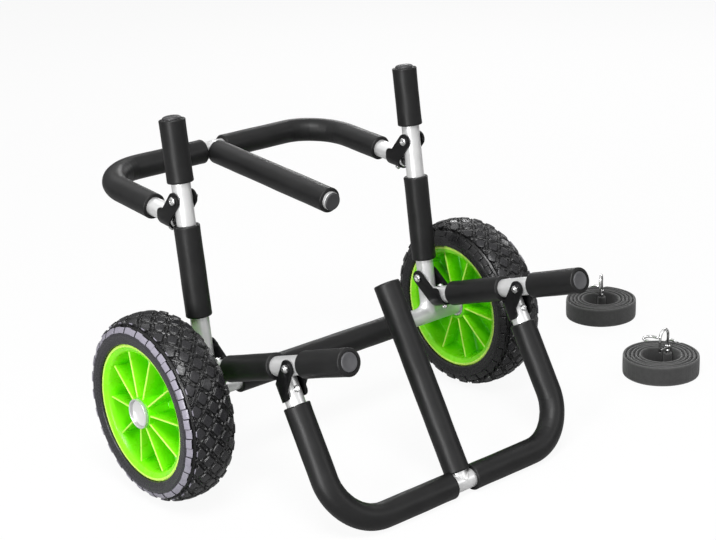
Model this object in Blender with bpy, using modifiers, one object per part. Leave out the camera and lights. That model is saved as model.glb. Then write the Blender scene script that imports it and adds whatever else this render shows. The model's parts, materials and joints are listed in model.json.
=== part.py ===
"""A folding cart that carries two surfboards or paddle boards on edge behind a walker or a bicycle.

Two padded uprights stand on a wheel axle. Two padded arms reach forward from them, and a U-shaped stand
hangs from the arms down to the ground. A second U, the rack, reaches back from the uprights. A prong in the
middle of each U parts the two boards. Six like brackets let the arms, the stand and the rack fold together.

Metres, +Z up. The board slots run along Y, the axle along X, and the origin is on the ground in the middle
of the cart's box.
"""

import math

import bmesh
import bpy
from mathutils import Matrix, Vector

# Tube, foam and the fits between pieces
TUBE_RADIUS = 0.0127
TUBE_WALL = 0.0016
FOAM_RADIUS = 0.0175
FOAM_END_ROUND = 0.0025
SEAT_GAP = 0.0003
TUBE_SIDES = 12
BORE_SIDES = 8

# Frame: the half span is from the middle of the cart to the middle of each upright, arm and leg
HALF_SPAN = 0.2004
UPRIGHT_LENGTH = 0.3675
WELD_LEG = 0.014
WELD_EDGE = 0.0008
AXLE_FOAM_HALF_LENGTH = 0.155

# Folding joints: each folding tube lies beside its pivot by the offset, at the bracket's angle
BRACKET_ANGLE = math.radians(78.54)
HINGE_OFFSET = 0.0307
ARM_PIVOT_STATION = 0.0584
RACK_PIVOT_STATION = 0.262
STAND_PIVOT_STATION = 0.2024
ARM_LENGTH = 0.3098

# U frames: stations from the pivot along the legs
BAR_STATION = 0.2141
PRONG_BEYOND_PIVOT = 0.0627
BEND_RADIUS = 0.070
BEND_STEPS = 5
BAR_FOAM_GAP = 0.0175
PRONG_COLLAR = 0.0005

# Bare tube left beside the foam: past a bracket, past an ear's edge, or between two pivots
STAND_BARE_LEG = 0.0082
RACK_BARE_LEG = 0.0292
BELOW_UPRIGHT_GRIP = 0.0113
BEHIND_ARM_FOAM = 0.0139
BEHIND_ARM_GRIP = 0.0092
BEHIND_STAND_PIVOT = 0.0408
BETWEEN_UPRIGHT_PIVOTS = 0.0796
ABOVE_ARM_PIVOT = {"left": 0.0446, "right": 0.0261}

# Stamped bracket
SHEET = 0.0025
EAR_GAP = 0.0005
EAR_RADIUS = 0.0107
EAR_SLANT = math.radians(54.6)
SADDLE_STATION = 0.012
BRACKET_END = 0.0378
BRACKET_CORNER = 0.008
SADDLE_FLATS = 6
LOBE_STEPS = 6
CORNER_STEPS = 2

# Fasteners
PIVOT_SHANK_RADIUS = 0.003
PIVOT_HEAD_RADIUS = 0.0058
PIVOT_HEAD_HEIGHT = 0.0034
PIVOT_NUT_RADIUS = 0.0056
PIVOT_NUT_HEIGHT = 0.0048
SCREW_STATION = 0.027
SCREW_SHANK_RADIUS = 0.0022
SCREW_HEAD_RADIUS = 0.0045
SCREW_HEAD_HEIGHT = 0.0026
SCREW_NUT_RADIUS = 0.0044
SCREW_NUT_HEIGHT = 0.0035
HEAD_EDGE_SHARE = 0.4
HEAD_CROWN_SHARE = 0.6
BOLT_TIP = 0.0015
HOLE_CLEARANCE = 0.0004
BOLT_SIDES = 8
NUT_SIDES = 6

# End caps
PLUG_LENGTH = 0.012
CAP_THICKNESS = 0.0025
CAP_DOME = 0.0045
DOME_STEPS = 2

# Wheels
WHEEL_CLEARANCE = 0.0199
WHEEL_STEPS = 32
TYRE_RADIUS = 0.127
TYRE_HALF_WIDTH = 0.0392
TYRE_WIDEST_RADIUS = 0.1025
TYRE_FULLNESS = 2.25
TYRE_BEAD_RISE = 0.0011
TYRE_ARC_STEPS = 3
TREAD_DEPTH = 0.0025
TREAD_DRAFT = 0.0015
TREAD_FACING = 0.6
LIP_RADIUS = 0.0928
LIP_INNER_RADIUS = 0.0864
LIP_CORNER = 0.001
RIM_HALF_WIDTH = 0.0334
FLANGE_THICKNESS = 0.003
BEAD_SEAT_RADIUS = 0.0835
BARREL_MOUTH_RADIUS = 0.0804
BARREL_MOUTH_DEPTH = 0.0034
BARREL_ROOT_RADIUS = 0.077
WEB_HALF_THICKNESS = 0.002
RIB_COUNT = 10
RIB_THICKNESS = 0.0026
RIB_PHASE = math.radians(21)
HUB_RADIUS = 0.0208
HUB_ROOT_RADIUS = 0.0225
HUB_OUTER_FACE = 0.0335
HUB_INNER_FACE = 0.0265
BUSH_WALL = 0.003
RETAINER_THICKNESS = 0.0016
RETAINER_WIDTH = 0.0027
CAP_SIDES = 18
AXLE_CAP_RADIUS = 0.020
AXLE_CAP_BASE = 0.0015
AXLE_CAP_RIM_HEIGHT = 0.0034
AXLE_CAP_RIM_WIDTH = 0.0035

# Tie-down straps: a flat coil of webbing with a wire hook at each end
STRAP_CENTRES = {"strap_1": (0.62, 0.06), "strap_2": (0.50, -0.17)}
STRAP_TURN = {"strap_1": math.radians(35), "strap_2": math.radians(10)}
WEBBING_WIDTH = 0.030
WEBBING_THICKNESS = 0.004
COIL_RADIUS = 0.059
COIL_PITCH = 0.0062
COIL_TURNS = 5
COIL_POINTS = 18
WIRE_RADIUS = 0.0022
WIRE_SIDES = 6
EYE_WIDTH = 0.0198
EYE_CLEARANCE = 0.0008
EYE_POINTS = 9
EYE_SWEEP = math.radians(262)
EYE_LEAD = 0.010
HOOK_SHANK = 0.034
HOOK_RADIUS = 0.0105
HOOK_TIP = 0.008
HOOK_STEPS = 6
RING_STEPS = 8
INNER_HOOK_RISE = 0.024
INNER_HOOK_RADIUS = 0.012
INNER_HOOK_DROP = 0.022
HOOK_FOOT_RADIUS = 0.0045
HOOK_FOOT_HEIGHT = 0.0015

SHARP_ANGLE = math.radians(35)
MERGE_DISTANCE = 0.00001
SIDES = {"left": -1, "right": 1}
ALONG_X = Matrix.Rotation(math.pi / 2, 4, "Y")
ALONG_Y = Matrix.Rotation(-math.pi / 2, 4, "X")


def clear_scene():
    for old in list(bpy.data.objects):
        bpy.data.objects.remove(old)


def new_collection(name):
    collection = bpy.data.collections.new(name)
    bpy.context.scene.collection.children.link(collection)
    return collection


def finish_of(name, colour, roughness, metallic=0.0):
    material = bpy.data.materials.new(name)
    material.use_nodes = True
    shader = material.node_tree.nodes["Principled BSDF"]
    shader.inputs["Base Color"].default_value = (*colour, 1)
    shader.inputs["Roughness"].default_value = roughness
    shader.inputs["Metallic"].default_value = metallic
    material.diffuse_color = (*colour, 1)
    return material


clear_scene()
PARTS = new_collection("surfboard_cart")
CUTTERS = new_collection("cutters")
ALUMINIUM = finish_of("satin_aluminium", (0.80, 0.80, 0.82), 0.28, 1.0)
FOAM = finish_of("charcoal_foam", (0.022, 0.022, 0.024), 0.72)
CAP_PLASTIC = finish_of("dark_plastic", (0.06, 0.06, 0.065), 0.45)
POWDER_COAT = finish_of("black_powder_coat", (0.010, 0.010, 0.011), 0.35)
ZINC = finish_of("zinc_plate", (0.72, 0.72, 0.74), 0.25, 1.0)
TYRE_RUBBER = finish_of("tyre_rubber", (0.014, 0.013, 0.015), 0.5)
LIME_PLASTIC = finish_of("lime_plastic", (0.12, 0.72, 0.0), 0.35)
BUSH_PLASTIC = finish_of("bush_plastic", (0.75, 0.75, 0.75), 0.4)
WEBBING = finish_of("grey_webbing", (0.055, 0.055, 0.06), 0.85)


# Placing and joining

def empty(name, frame, parent=None):
    """A joint's or an assembly's own axes."""
    axes = bpy.data.objects.new(name, None)
    PARTS.objects.link(axes)
    axes.parent = parent
    axes.matrix_basis = frame
    return axes


def place(obj, parent, frame, material):
    """Puts a piece into its assembly, with its finish and smooth shading."""
    PARTS.objects.link(obj)
    obj.parent = parent
    obj.matrix_basis = frame
    obj.data.materials.append(material)
    obj.data.shade_smooth()
    obj.data.set_sharp_from_angle(angle=SHARP_ANGLE)
    return obj


def place_cutter(obj, parent, frame):
    CUTTERS.objects.link(obj)
    obj.parent = parent
    obj.matrix_basis = frame
    obj.hide_render = True
    obj.display_type = "WIRE"
    return obj


def combine(target, tool, operation, solver="EXACT"):
    modifier = target.modifiers.new(f"{operation.lower()} {tool.name}", "BOOLEAN")
    modifier.operation = operation
    modifier.solver = solver
    modifier.object = tool


# Shapes: each is an object with its mesh along its own Z, not yet placed

def object_from(name, bm):
    mesh = bpy.data.meshes.new(name)
    bm.to_mesh(mesh)
    bm.free()
    return bpy.data.objects.new(name, mesh)


def mesh_of(source):
    """The finished mesh of a curve, or of an object with modifiers, which is then removed."""
    bpy.context.scene.collection.objects.link(source)
    graph = bpy.context.evaluated_depsgraph_get()
    mesh = bpy.data.meshes.new_from_object(source.evaluated_get(graph))
    bpy.data.objects.remove(source)
    bm = bmesh.new()
    bm.from_mesh(mesh)
    bpy.data.meshes.remove(mesh)
    return bm


def first_corner(sides):
    """A quarter of a side's turn, so that a hole along X or Y misses the corners of a round piece."""
    return Matrix.Rotation(math.pi / (2 * sides), 4, "Z")


def rod(name, radius, start, end, sides):
    """A solid cylinder from one station to another."""
    bm = bmesh.new()
    middle = Matrix.Translation((0, 0, (start + end) / 2)) @ first_corner(sides)
    bmesh.ops.create_cone(
        bm, cap_ends=True, segments=sides, radius1=radius, radius2=radius, depth=end - start, matrix=middle
    )
    return object_from(name, bm)


def turned(name, profile, steps, closed):
    """A profile of (radius, height) points turned about Z. It runs down its outer side."""
    bm = bmesh.new()
    corners = [bm.verts.new(first_corner(steps) @ Vector((radius, 0, height))) for radius, height in profile]
    for first, second in zip(corners, corners[1:]):
        bm.edges.new((first, second))
    if closed:
        bm.edges.new((corners[-1], corners[0]))
    obj = object_from(name, bm)
    screw = obj.modifiers.new("turn", "SCREW")
    screw.steps = steps
    screw.render_steps = steps
    screw.use_merge_vertices = True
    screw.merge_threshold = MERGE_DISTANCE
    return obj


def pipe(name, outer, inner, start, end, steps):
    """A plain tube with square ends."""
    profile = [(inner, end), (outer, end), (outer, start), (inner, start)]
    return turned(name, profile, steps, closed=True)


def sleeve(name, start, end):
    """A foam sleeve with eased ends, over a straight tube."""
    bore = slip_bore()
    ease = FOAM_END_ROUND
    profile = [
        (bore, end),
        (FOAM_RADIUS - ease, end),
        (FOAM_RADIUS, end - ease),
        (FOAM_RADIUS, start + ease),
        (FOAM_RADIUS - ease, start),
        (bore, start),
    ]
    return turned(name, profile, TUBE_SIDES, closed=True)


def slip_bore():
    """The radius to the corners of a bore round a tube, whose flats too clear the tube."""
    return (TUBE_RADIUS + SEAT_GAP) / math.cos(math.pi / TUBE_SIDES)


def swept(name, points, radius, sides, capped, cyclic=False):
    """A round section carried along a path of points, as a mesh."""
    curve = bpy.data.curves.new(name, "CURVE")
    curve.dimensions = "3D"
    curve.bevel_depth = radius
    curve.bevel_resolution = sides // 2 - 2
    curve.use_fill_caps = capped
    spline = curve.splines.new("POLY")
    spline.points.add(len(points) - 1)
    for point, place_at in zip(spline.points, points):
        point.co = (*place_at, 1)
    spline.use_cyclic_u = cyclic
    bm = mesh_of(bpy.data.objects.new(name, curve))
    bmesh.ops.remove_doubles(bm, verts=bm.verts, dist=MERGE_DISTANCE)
    bmesh.ops.recalc_face_normals(bm, faces=bm.faces)
    return object_from(name, bm)


def arc(centre, radius, start, end, steps):
    """Points on an arc in a plane, both ends included."""
    angles = [start + (end - start) * i / steps for i in range(steps + 1)]
    return [(centre[0] + radius * math.cos(a), centre[1] + radius * math.sin(a)) for a in angles]


def prism(name, outline, thickness):
    """A flat outline in the XY plane, given half of its thickness each way."""
    bm = bmesh.new()
    base = [bm.verts.new((x, y, -thickness / 2)) for x, y in outline]
    face = bm.faces.new(base)
    grown = bmesh.ops.extrude_face_region(bm, geom=[face])
    lifted = [item for item in grown["geom"] if isinstance(item, bmesh.types.BMVert)]
    bmesh.ops.translate(bm, verts=lifted, vec=(0, 0, thickness))
    bmesh.ops.recalc_face_normals(bm, faces=bm.faces)
    return object_from(name, bm)


def ribbon(name, path, lows, highs, thickness):
    """A sheet standing along a path in the XY plane, thickened by half each way."""
    bm = bmesh.new()
    bottom = [bm.verts.new((x, y, low)) for (x, y), low in zip(path, lows)]
    top = [bm.verts.new((x, y, high)) for (x, y), high in zip(path, highs)]
    for i in range(len(path) - 1):
        bm.faces.new((bottom[i], bottom[i + 1], top[i + 1], top[i]))
    obj = object_from(name, bm)
    solid = obj.modifiers.new("thickness", "SOLIDIFY")
    solid.thickness = thickness
    solid.offset = 0
    solid.use_even_offset = True
    return obj


# Where the assemblies stand

def fold_frame(tube_frame, station, forward):
    """Axes at a pivot on a tube: Z along the folding tube, Y toward the side where that tube lies."""
    about = Matrix.Rotation(math.pi if forward else 0, 4, "Z")
    return tube_frame @ Matrix.Translation((0, 0, station)) @ about @ Matrix.Rotation(-BRACKET_ANGLE, 4, "X")


def tube_frame_of(fold):
    """The axis of a folding tube, beside its pivot."""
    return fold @ Matrix.Translation((0, HINGE_OFFSET, 0))


def assembly_frames(axle_y, lean):
    """World axes of the axle, the uprights, the arms, the stand and the rack."""
    axle = Matrix.Translation((0, axle_y, TYRE_RADIUS))
    upright = axle @ Matrix.Rotation(-lean, 4, "X")
    arm = fold_frame(upright, ARM_PIVOT_STATION, forward=True)
    stand = fold_frame(tube_frame_of(arm), STAND_PIVOT_STATION, forward=False)
    rack = fold_frame(upright, RACK_PIVOT_STATION, forward=False)
    return {"axle": axle, "upright": upright, "arm": arm, "stand": stand, "rack": rack}


def bar_centre(fold):
    return tube_frame_of(fold) @ Vector((0, 0, BAR_STATION))


def lean_that_rests_the_stand():
    """How far the uprights lean back when the foam of the stand's bar touches the ground."""
    bar = bar_centre(assembly_frames(0, 0)["stand"]) - Vector((0, 0, TYRE_RADIUS))
    drop = FOAM_RADIUS - TYRE_RADIUS
    return math.atan2(-bar.y, bar.z) - math.acos(drop / math.hypot(bar.y, bar.z))


def axle_place(lean):
    """The axle's Y that puts the origin in the middle of the cart, from the arm caps to the rack's bar."""
    frames = assembly_frames(0, lean)
    arm_tube = tube_frame_of(frames["arm"])
    grip_end = arm_tube @ Vector((0, FOAM_RADIUS, ARM_LENGTH))
    cap_rim = arm_tube @ Vector((0, TUBE_RADIUS, ARM_LENGTH + SEAT_GAP + CAP_THICKNESS))
    front = min(grip_end.y, cap_rim.y, bar_centre(frames["stand"]).y - FOAM_RADIUS)
    back = max(bar_centre(frames["rack"]).y + FOAM_RADIUS, TYRE_RADIUS)
    return -(front + back) / 2


def butt_station():
    """Where a folding tube's square end meets the tube that it folds on."""
    return (TUBE_RADIUS - (HINGE_OFFSET - TUBE_RADIUS) * math.cos(BRACKET_ANGLE)) / math.sin(
        BRACKET_ANGLE
    ) + SEAT_GAP


def across(fold, side):
    """A side's X in the axes of an assembly, which may face the other way."""
    return SIDES[side] * math.copysign(HALF_SPAN, fold[0][0])


# Fasteners

def bolt(name, parent, frame, grip, shank, head, nut):
    """A bolt with a round head and a nut, both given by radius and height. Z runs from head to nut."""
    head_radius, head_height = head
    nut_radius, nut_height = nut
    tip = grip + nut_height + BOLT_TIP
    profile = [
        (0, tip),
        (shank, tip),
        (shank, 0),
        (head_radius, 0),
        (head_radius, -head_height * HEAD_EDGE_SHARE),
        (head_radius * HEAD_CROWN_SHARE, -head_height),
        (0, -head_height),
    ]
    obj = turned(name, profile, BOLT_SIDES, closed=False)
    hexagon = rod(f"{name}_nut", nut_radius, grip, grip + nut_height, NUT_SIDES)
    combine(obj, place_cutter(hexagon, parent, frame), "UNION")
    return place(obj, parent, frame, ZINC)


def pivot_bolt(name, parent, centre):
    """The bolt through a bracket's ears and the tube between them, its head to the cart's left."""
    half_grip = ear_outer() + SEAT_GAP
    frame = Matrix.Translation(centre) @ ALONG_X @ Matrix.Translation((0, 0, -half_grip))
    head = (PIVOT_HEAD_RADIUS, PIVOT_HEAD_HEIGHT)
    nut = (PIVOT_NUT_RADIUS, PIVOT_NUT_HEIGHT)
    return bolt(name, parent, frame, 2 * half_grip, PIVOT_SHANK_RADIUS, head, nut)


def pivot_hole(name, parent, centre):
    reach = 2 * ear_outer()
    cut = rod(name, PIVOT_SHANK_RADIUS + HOLE_CLEARANCE, -reach, reach, BOLT_SIDES)
    return place_cutter(cut, parent, Matrix.Translation(centre) @ ALONG_X)


def fixing_frame(x):
    """Along the screw that fixes a bracket to its tube, from its head's seat on the tube's inner side."""
    return Matrix.Translation((x, HINGE_OFFSET - TUBE_RADIUS - SEAT_GAP, SCREW_STATION)) @ ALONG_Y


def fixing_grip():
    """From the tube's inner side to the back of the saddle."""
    return SEAT_GAP + TUBE_RADIUS + ear_outer() + SEAT_GAP


def fixing_screw(name, parent, x):
    head = (SCREW_HEAD_RADIUS, SCREW_HEAD_HEIGHT)
    nut = (SCREW_NUT_RADIUS, SCREW_NUT_HEIGHT)
    return bolt(name, parent, fixing_frame(x), fixing_grip(), SCREW_SHANK_RADIUS, head, nut)


def fixing_hole(name, parent, x):
    end = fixing_grip() + TUBE_RADIUS
    cut = rod(name, SCREW_SHANK_RADIUS + HOLE_CLEARANCE, -TUBE_RADIUS, end, BOLT_SIDES)
    return place_cutter(cut, parent, fixing_frame(x))


# The stamped bracket: a channel bent round the folding tube, trimmed to its side outline

def ear_outer():
    return TUBE_RADIUS + EAR_GAP + SHEET


def bracket_outline():
    """The side view: X along the folding tube from the pivot, Y from the pivot toward that tube."""
    along = Vector((math.cos(EAR_SLANT), math.sin(EAR_SLANT)))
    square = Vector((math.sin(EAR_SLANT), -math.cos(EAR_SLANT)))
    front_edge = HINGE_OFFSET - TUBE_RADIUS
    back_edge = HINGE_OFFSET + ear_outer() + SHEET
    neck_run = (front_edge - EAR_RADIUS * square.y) / along.y
    neck = EAR_RADIUS * square + neck_run * along
    shoulder_run = (SADDLE_STATION + EAR_RADIUS * square.x) / along.x
    shoulder = shoulder_run * along - EAR_RADIUS * square
    lobe_start = EAR_SLANT - math.pi / 2
    lobe = arc((0, 0), EAR_RADIUS, lobe_start, lobe_start - math.pi, LOBE_STEPS)
    corner_centre = (BRACKET_END - BRACKET_CORNER, front_edge + BRACKET_CORNER)
    corner = arc(corner_centre, BRACKET_CORNER, 0, -math.pi / 2, CORNER_STEPS)
    return [
        *lobe,
        tuple(shoulder),
        (SADDLE_STATION, back_edge),
        (BRACKET_END, back_edge),
        *corner,
        tuple(neck),
    ]


def bracket(name, parent, x):
    middle = ear_outer() - SHEET / 2
    half_flat = math.pi / (2 * SADDLE_FLATS)
    corner_radius = middle / math.cos(half_flat)
    wrap = arc((0, HINGE_OFFSET), corner_radius, math.pi - half_flat, half_flat, SADDLE_FLATS - 1)
    below = -EAR_RADIUS - SHEET
    path = [(-middle, below), *wrap, (middle, below)]
    beyond = BRACKET_END + SHEET
    channel = ribbon(name, path, [below] * len(path), [beyond] * len(path), SHEET)
    here = Matrix.Translation((x, 0, 0))
    trim = prism(f"{name}_outline", bracket_outline(), 3 * ear_outer())
    combine(channel, place_cutter(trim, parent, here @ ALONG_X.inverted()), "INTERSECT")
    combine(channel, pivot_hole(f"{name}_pivot_hole", parent, (x, 0, 0)), "DIFFERENCE")
    combine(channel, fixing_hole(f"{name}_screw_hole", parent, x), "DIFFERENCE")
    return place(channel, parent, here, POWDER_COAT)


# End caps

def plug_radius():
    return (TUBE_RADIUS - TUBE_WALL - SEAT_GAP) * math.cos(math.pi / BORE_SIDES)


def flat_cap(name, parent, frame):
    """A flat cap whose plug sits in the tube's end. Z points out of the tube, from its end."""
    face = SEAT_GAP + CAP_THICKNESS
    profile = [
        (0, face),
        (TUBE_RADIUS, face),
        (TUBE_RADIUS, SEAT_GAP),
        (plug_radius(), SEAT_GAP),
        (plug_radius(), -PLUG_LENGTH),
        (0, -PLUG_LENGTH),
    ]
    return place(turned(name, profile, TUBE_SIDES, closed=False), parent, frame, CAP_PLASTIC)


def domed_cap(name, parent, frame):
    """A domed cap for an upright's top."""
    quarter = arc((0, 0), 1, math.pi / 2, 0, DOME_STEPS)
    dome = [(TUBE_RADIUS * out, SEAT_GAP + CAP_DOME * up) for out, up in quarter]
    profile = [*dome, (plug_radius(), SEAT_GAP), (plug_radius(), -PLUG_LENGTH), (0, -PLUG_LENGTH)]
    return place(turned(name, profile, TUBE_SIDES, closed=False), parent, frame, CAP_PLASTIC)


# Frame: the axle with its two welded uprights

def at_side(side, height=0.0):
    return Matrix.Translation((SIDES[side] * HALF_SPAN, 0, height))


def weld(name):
    """The fillet between an upright and the axle, long along the axle at its foot and round at its top."""
    foot = Vector((TUBE_RADIUS + WELD_LEG, TUBE_RADIUS + WELD_EDGE, 1))
    top = Vector((TUBE_RADIUS + WELD_EDGE, TUBE_RADIUS + WELD_EDGE, 1))
    fillet = rod(name, 1, 0, TUBE_RADIUS + WELD_LEG, TUBE_SIDES)
    for corner in fillet.data.vertices:
        corner.co *= top if corner.co.z > TUBE_RADIUS else foot
    return fillet


def frame_weldment(upright, half_axle):
    bore_radius = TUBE_RADIUS - TUBE_WALL
    tube = rod("frame_tube", TUBE_RADIUS, -half_axle, half_axle, TUBE_SIDES)
    for side in SIDES:
        post = rod(f"{side}_post", TUBE_RADIUS, 0, UPRIGHT_LENGTH, TUBE_SIDES)
        combine(tube, place_cutter(post, upright, at_side(side)), "UNION", "MANIFOLD")
        combine(tube, place_cutter(weld(f"{side}_weld"), upright, at_side(side)), "UNION", "MANIFOLD")
        hollow = rod(f"{side}_post_bore", bore_radius, TUBE_RADIUS, UPRIGHT_LENGTH + TUBE_RADIUS, BORE_SIDES)
        combine(tube, place_cutter(hollow, upright, at_side(side)), "DIFFERENCE", "MANIFOLD")
    bore = rod("axle_bore", bore_radius, -2 * half_axle, 2 * half_axle, BORE_SIDES)
    combine(tube, place_cutter(bore, upright, ALONG_X), "DIFFERENCE", "MANIFOLD")
    for side in SIDES:
        for joint, station in (("arm", ARM_PIVOT_STATION), ("rack", RACK_PIVOT_STATION)):
            centre = (SIDES[side] * HALF_SPAN, 0, station)
            combine(tube, pivot_hole(f"{side}_{joint}_hole", upright, centre), "DIFFERENCE", "MANIFOLD")
            pivot_bolt(f"{joint}_pivot_bolt_{side}", upright, centre)
    place(tube, upright, ALONG_X, ALUMINIUM)


def upright_dressing(upright):
    grip_start = RACK_PIVOT_STATION + EAR_RADIUS + BELOW_UPRIGHT_GRIP
    lower_length = RACK_PIVOT_STATION - ARM_PIVOT_STATION - BETWEEN_UPRIGHT_PIVOTS
    for side in SIDES:
        start = ARM_PIVOT_STATION + ABOVE_ARM_PIVOT[side]
        lower = sleeve(f"upright_foam_{side}", start, start + lower_length)
        place(lower, upright, at_side(side), FOAM)
        grip = sleeve(f"upright_grip_{side}", grip_start, UPRIGHT_LENGTH)
        place(grip, upright, at_side(side), FOAM)
        domed_cap(f"upright_cap_{side}", upright, at_side(side, UPRIGHT_LENGTH))
    around_axle = sleeve("axle_foam", -AXLE_FOAM_HALF_LENGTH, AXLE_FOAM_HALF_LENGTH)
    place(around_axle, upright, ALONG_X, FOAM)


# Wheels: Z points outward along the axle from the wheel's middle plane

def facing_out(face):
    """How squarely a face of a turned piece looks away from its axis: 1 straight out, -1 straight in."""
    middle = face.calc_center_median().to_2d().normalized()
    return face.normal.to_2d().dot(middle)


def wheel_middle():
    """From the middle of the cart, so that the tyre clears the foam beside it."""
    return HALF_SPAN + FOAM_RADIUS + WHEEL_CLEARANCE + TYRE_HALF_WIDTH


def outward(side):
    return Matrix.Rotation(SIDES[side] * math.pi / 2, 4, "Y")


def rim_profile():
    bore = slip_bore() + BUSH_WALL + SEAT_GAP
    mouth = RIM_HALF_WIDTH - BARREL_MOUTH_DEPTH
    half = [
        (HUB_ROOT_RADIUS, WEB_HALF_THICKNESS),
        (BARREL_ROOT_RADIUS, WEB_HALF_THICKNESS),
        (BARREL_MOUTH_RADIUS, mouth),
        (LIP_INNER_RADIUS, RIM_HALF_WIDTH),
        (LIP_RADIUS - LIP_CORNER, RIM_HALF_WIDTH),
        (LIP_RADIUS, RIM_HALF_WIDTH - LIP_CORNER),
        (LIP_RADIUS, RIM_HALF_WIDTH - FLANGE_THICKNESS),
        (BEAD_SEAT_RADIUS, RIM_HALF_WIDTH - FLANGE_THICKNESS),
    ]
    mirrored = [(radius, -height) for radius, height in reversed(half)]
    outer_hub = [(bore, HUB_OUTER_FACE), (HUB_RADIUS, HUB_OUTER_FACE)]
    inner_hub = [(HUB_RADIUS, -HUB_INNER_FACE), (bore, -HUB_INNER_FACE)]
    return [*outer_hub, *half, *mirrored, *inner_hub]


def rib_set(name):
    """Flat ribs through the web, level with the hub's ends and the barrel's mouth."""
    inside = (HUB_RADIUS + HUB_ROOT_RADIUS) / 2 - RIB_THICKNESS
    outside = (BARREL_MOUTH_RADIUS + BEAD_SEAT_RADIUS) / 2
    mouth = RIM_HALF_WIDTH - BARREL_MOUTH_DEPTH
    outline = [
        (inside, -HUB_INNER_FACE + LIP_CORNER),
        (outside, -mouth),
        (outside, mouth),
        (inside, HUB_OUTER_FACE - LIP_CORNER),
    ]
    bm = bmesh.new()
    for i in range(RIB_COUNT):
        turn = Matrix.Rotation(RIB_PHASE + 2 * math.pi * i / RIB_COUNT, 4, "Z")
        sides = []
        for offset in (-RIB_THICKNESS / 2, RIB_THICKNESS / 2):
            sides.append([bm.verts.new(turn @ Vector((r, offset, z))) for r, z in outline])
        near, far = sides
        bm.faces.new(near)
        bm.faces.new(reversed(far))
        for j in range(len(outline)):
            k = (j + 1) % len(outline)
            bm.faces.new((near[k], near[j], far[j], far[k]))
    bmesh.ops.recalc_face_normals(bm, faces=bm.faces)
    return object_from(name, bm)


def tyre_profile():
    """A full section, widest above the rim, that tucks in to the flanges and down to the bead seat."""
    seat = BEAD_SEAT_RADIUS + SEAT_GAP
    inner_side = RIM_HALF_WIDTH - FLANGE_THICKNESS - SEAT_GAP
    over_lip = LIP_RADIUS + SEAT_GAP
    crown_height = TYRE_RADIUS - TREAD_DEPTH - TYRE_WIDEST_RADIUS
    shoulder = []
    for i in range(TYRE_ARC_STEPS + 1):
        a = math.pi / 2 * i / TYRE_ARC_STEPS
        radius = TYRE_WIDEST_RADIUS + crown_height * math.sin(a) ** (2 / TYRE_FULLNESS)
        height = TYRE_HALF_WIDTH * max(math.cos(a), 0) ** (2 / TYRE_FULLNESS)
        shoulder.append((radius, height))
    crown = shoulder[:-1]
    bead = (over_lip, RIM_HALF_WIDTH + TYRE_BEAD_RISE)
    half = [(seat, inner_side), (over_lip, inner_side), bead, *crown]
    mirrored = [(radius, -height) for radius, height in reversed(half)]
    return [*half, shoulder[-1], *mirrored]


def tread_tyre(name):
    """The tyre, with the squares of its crown raised like those of one colour on a chessboard."""
    bm = mesh_of(turned(name, tyre_profile(), WHEEL_STEPS, closed=True))
    crown = [face for face in bm.faces if facing_out(face) > TREAD_FACING]
    rows = sorted({round(face.calc_center_median().z, 5) for face in crown})
    blocks = []
    for face in crown:
        middle = face.calc_center_median()
        column = round(math.atan2(middle.y, middle.x) / (2 * math.pi) * WHEEL_STEPS)
        if (column + rows.index(round(middle.z, 5))) % 2:
            blocks.append(face)
    bmesh.ops.inset_individual(bm, faces=blocks, thickness=TREAD_DRAFT, depth=TREAD_DEPTH)
    return object_from(name, bm)


def wheel(side, axle):
    joint = empty(f"wheel_{side}_joint", Matrix.Translation((SIDES[side] * wheel_middle(), 0, 0)), axle)
    frame = outward(side)
    rim = turned(f"rim_{side}", rim_profile(), WHEEL_STEPS, closed=True)
    ribs = place_cutter(rib_set(f"ribs_{side}"), joint, frame)
    combine(rim, ribs, "UNION")
    place(rim, joint, frame, LIME_PLASTIC)
    place(tread_tyre(f"tyre_{side}"), joint, frame, TYRE_RUBBER)
    inner = slip_bore()
    start = -HUB_INNER_FACE + RETAINER_THICKNESS + 2 * SEAT_GAP
    bush = pipe(f"hub_bush_{side}", inner + BUSH_WALL, inner, start, HUB_OUTER_FACE, TUBE_SIDES)
    place(bush, joint, frame, BUSH_PLASTIC)


def wheel_retainers(side, upright):
    """A push-on ring inside the hub's mouth and a cap in the axle's end, which keep a wheel in its place."""
    frame = Matrix.Translation((SIDES[side] * wheel_middle(), 0, 0)) @ outward(side)
    inner = slip_bore()
    start = -HUB_INNER_FACE + SEAT_GAP
    ring = pipe(
        f"axle_ring_{side}", inner + RETAINER_WIDTH, inner, start, start + RETAINER_THICKNESS, TUBE_SIDES
    )
    place(ring, upright, frame, ZINC)
    base = HUB_OUTER_FACE + SEAT_GAP
    floor = base + AXLE_CAP_BASE
    top = floor + AXLE_CAP_RIM_HEIGHT
    recess = AXLE_CAP_RADIUS - AXLE_CAP_RIM_WIDTH
    profile = [
        (0, floor),
        (recess, floor),
        (recess, top),
        (AXLE_CAP_RADIUS, top),
        (AXLE_CAP_RADIUS, base),
        (plug_radius(), base),
        (plug_radius(), base - PLUG_LENGTH),
        (0, base - PLUG_LENGTH),
    ]
    cap = turned(f"axle_cap_{side}", profile, CAP_SIDES, closed=False)
    place(cap, upright, frame, ZINC)


# Arms

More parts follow.
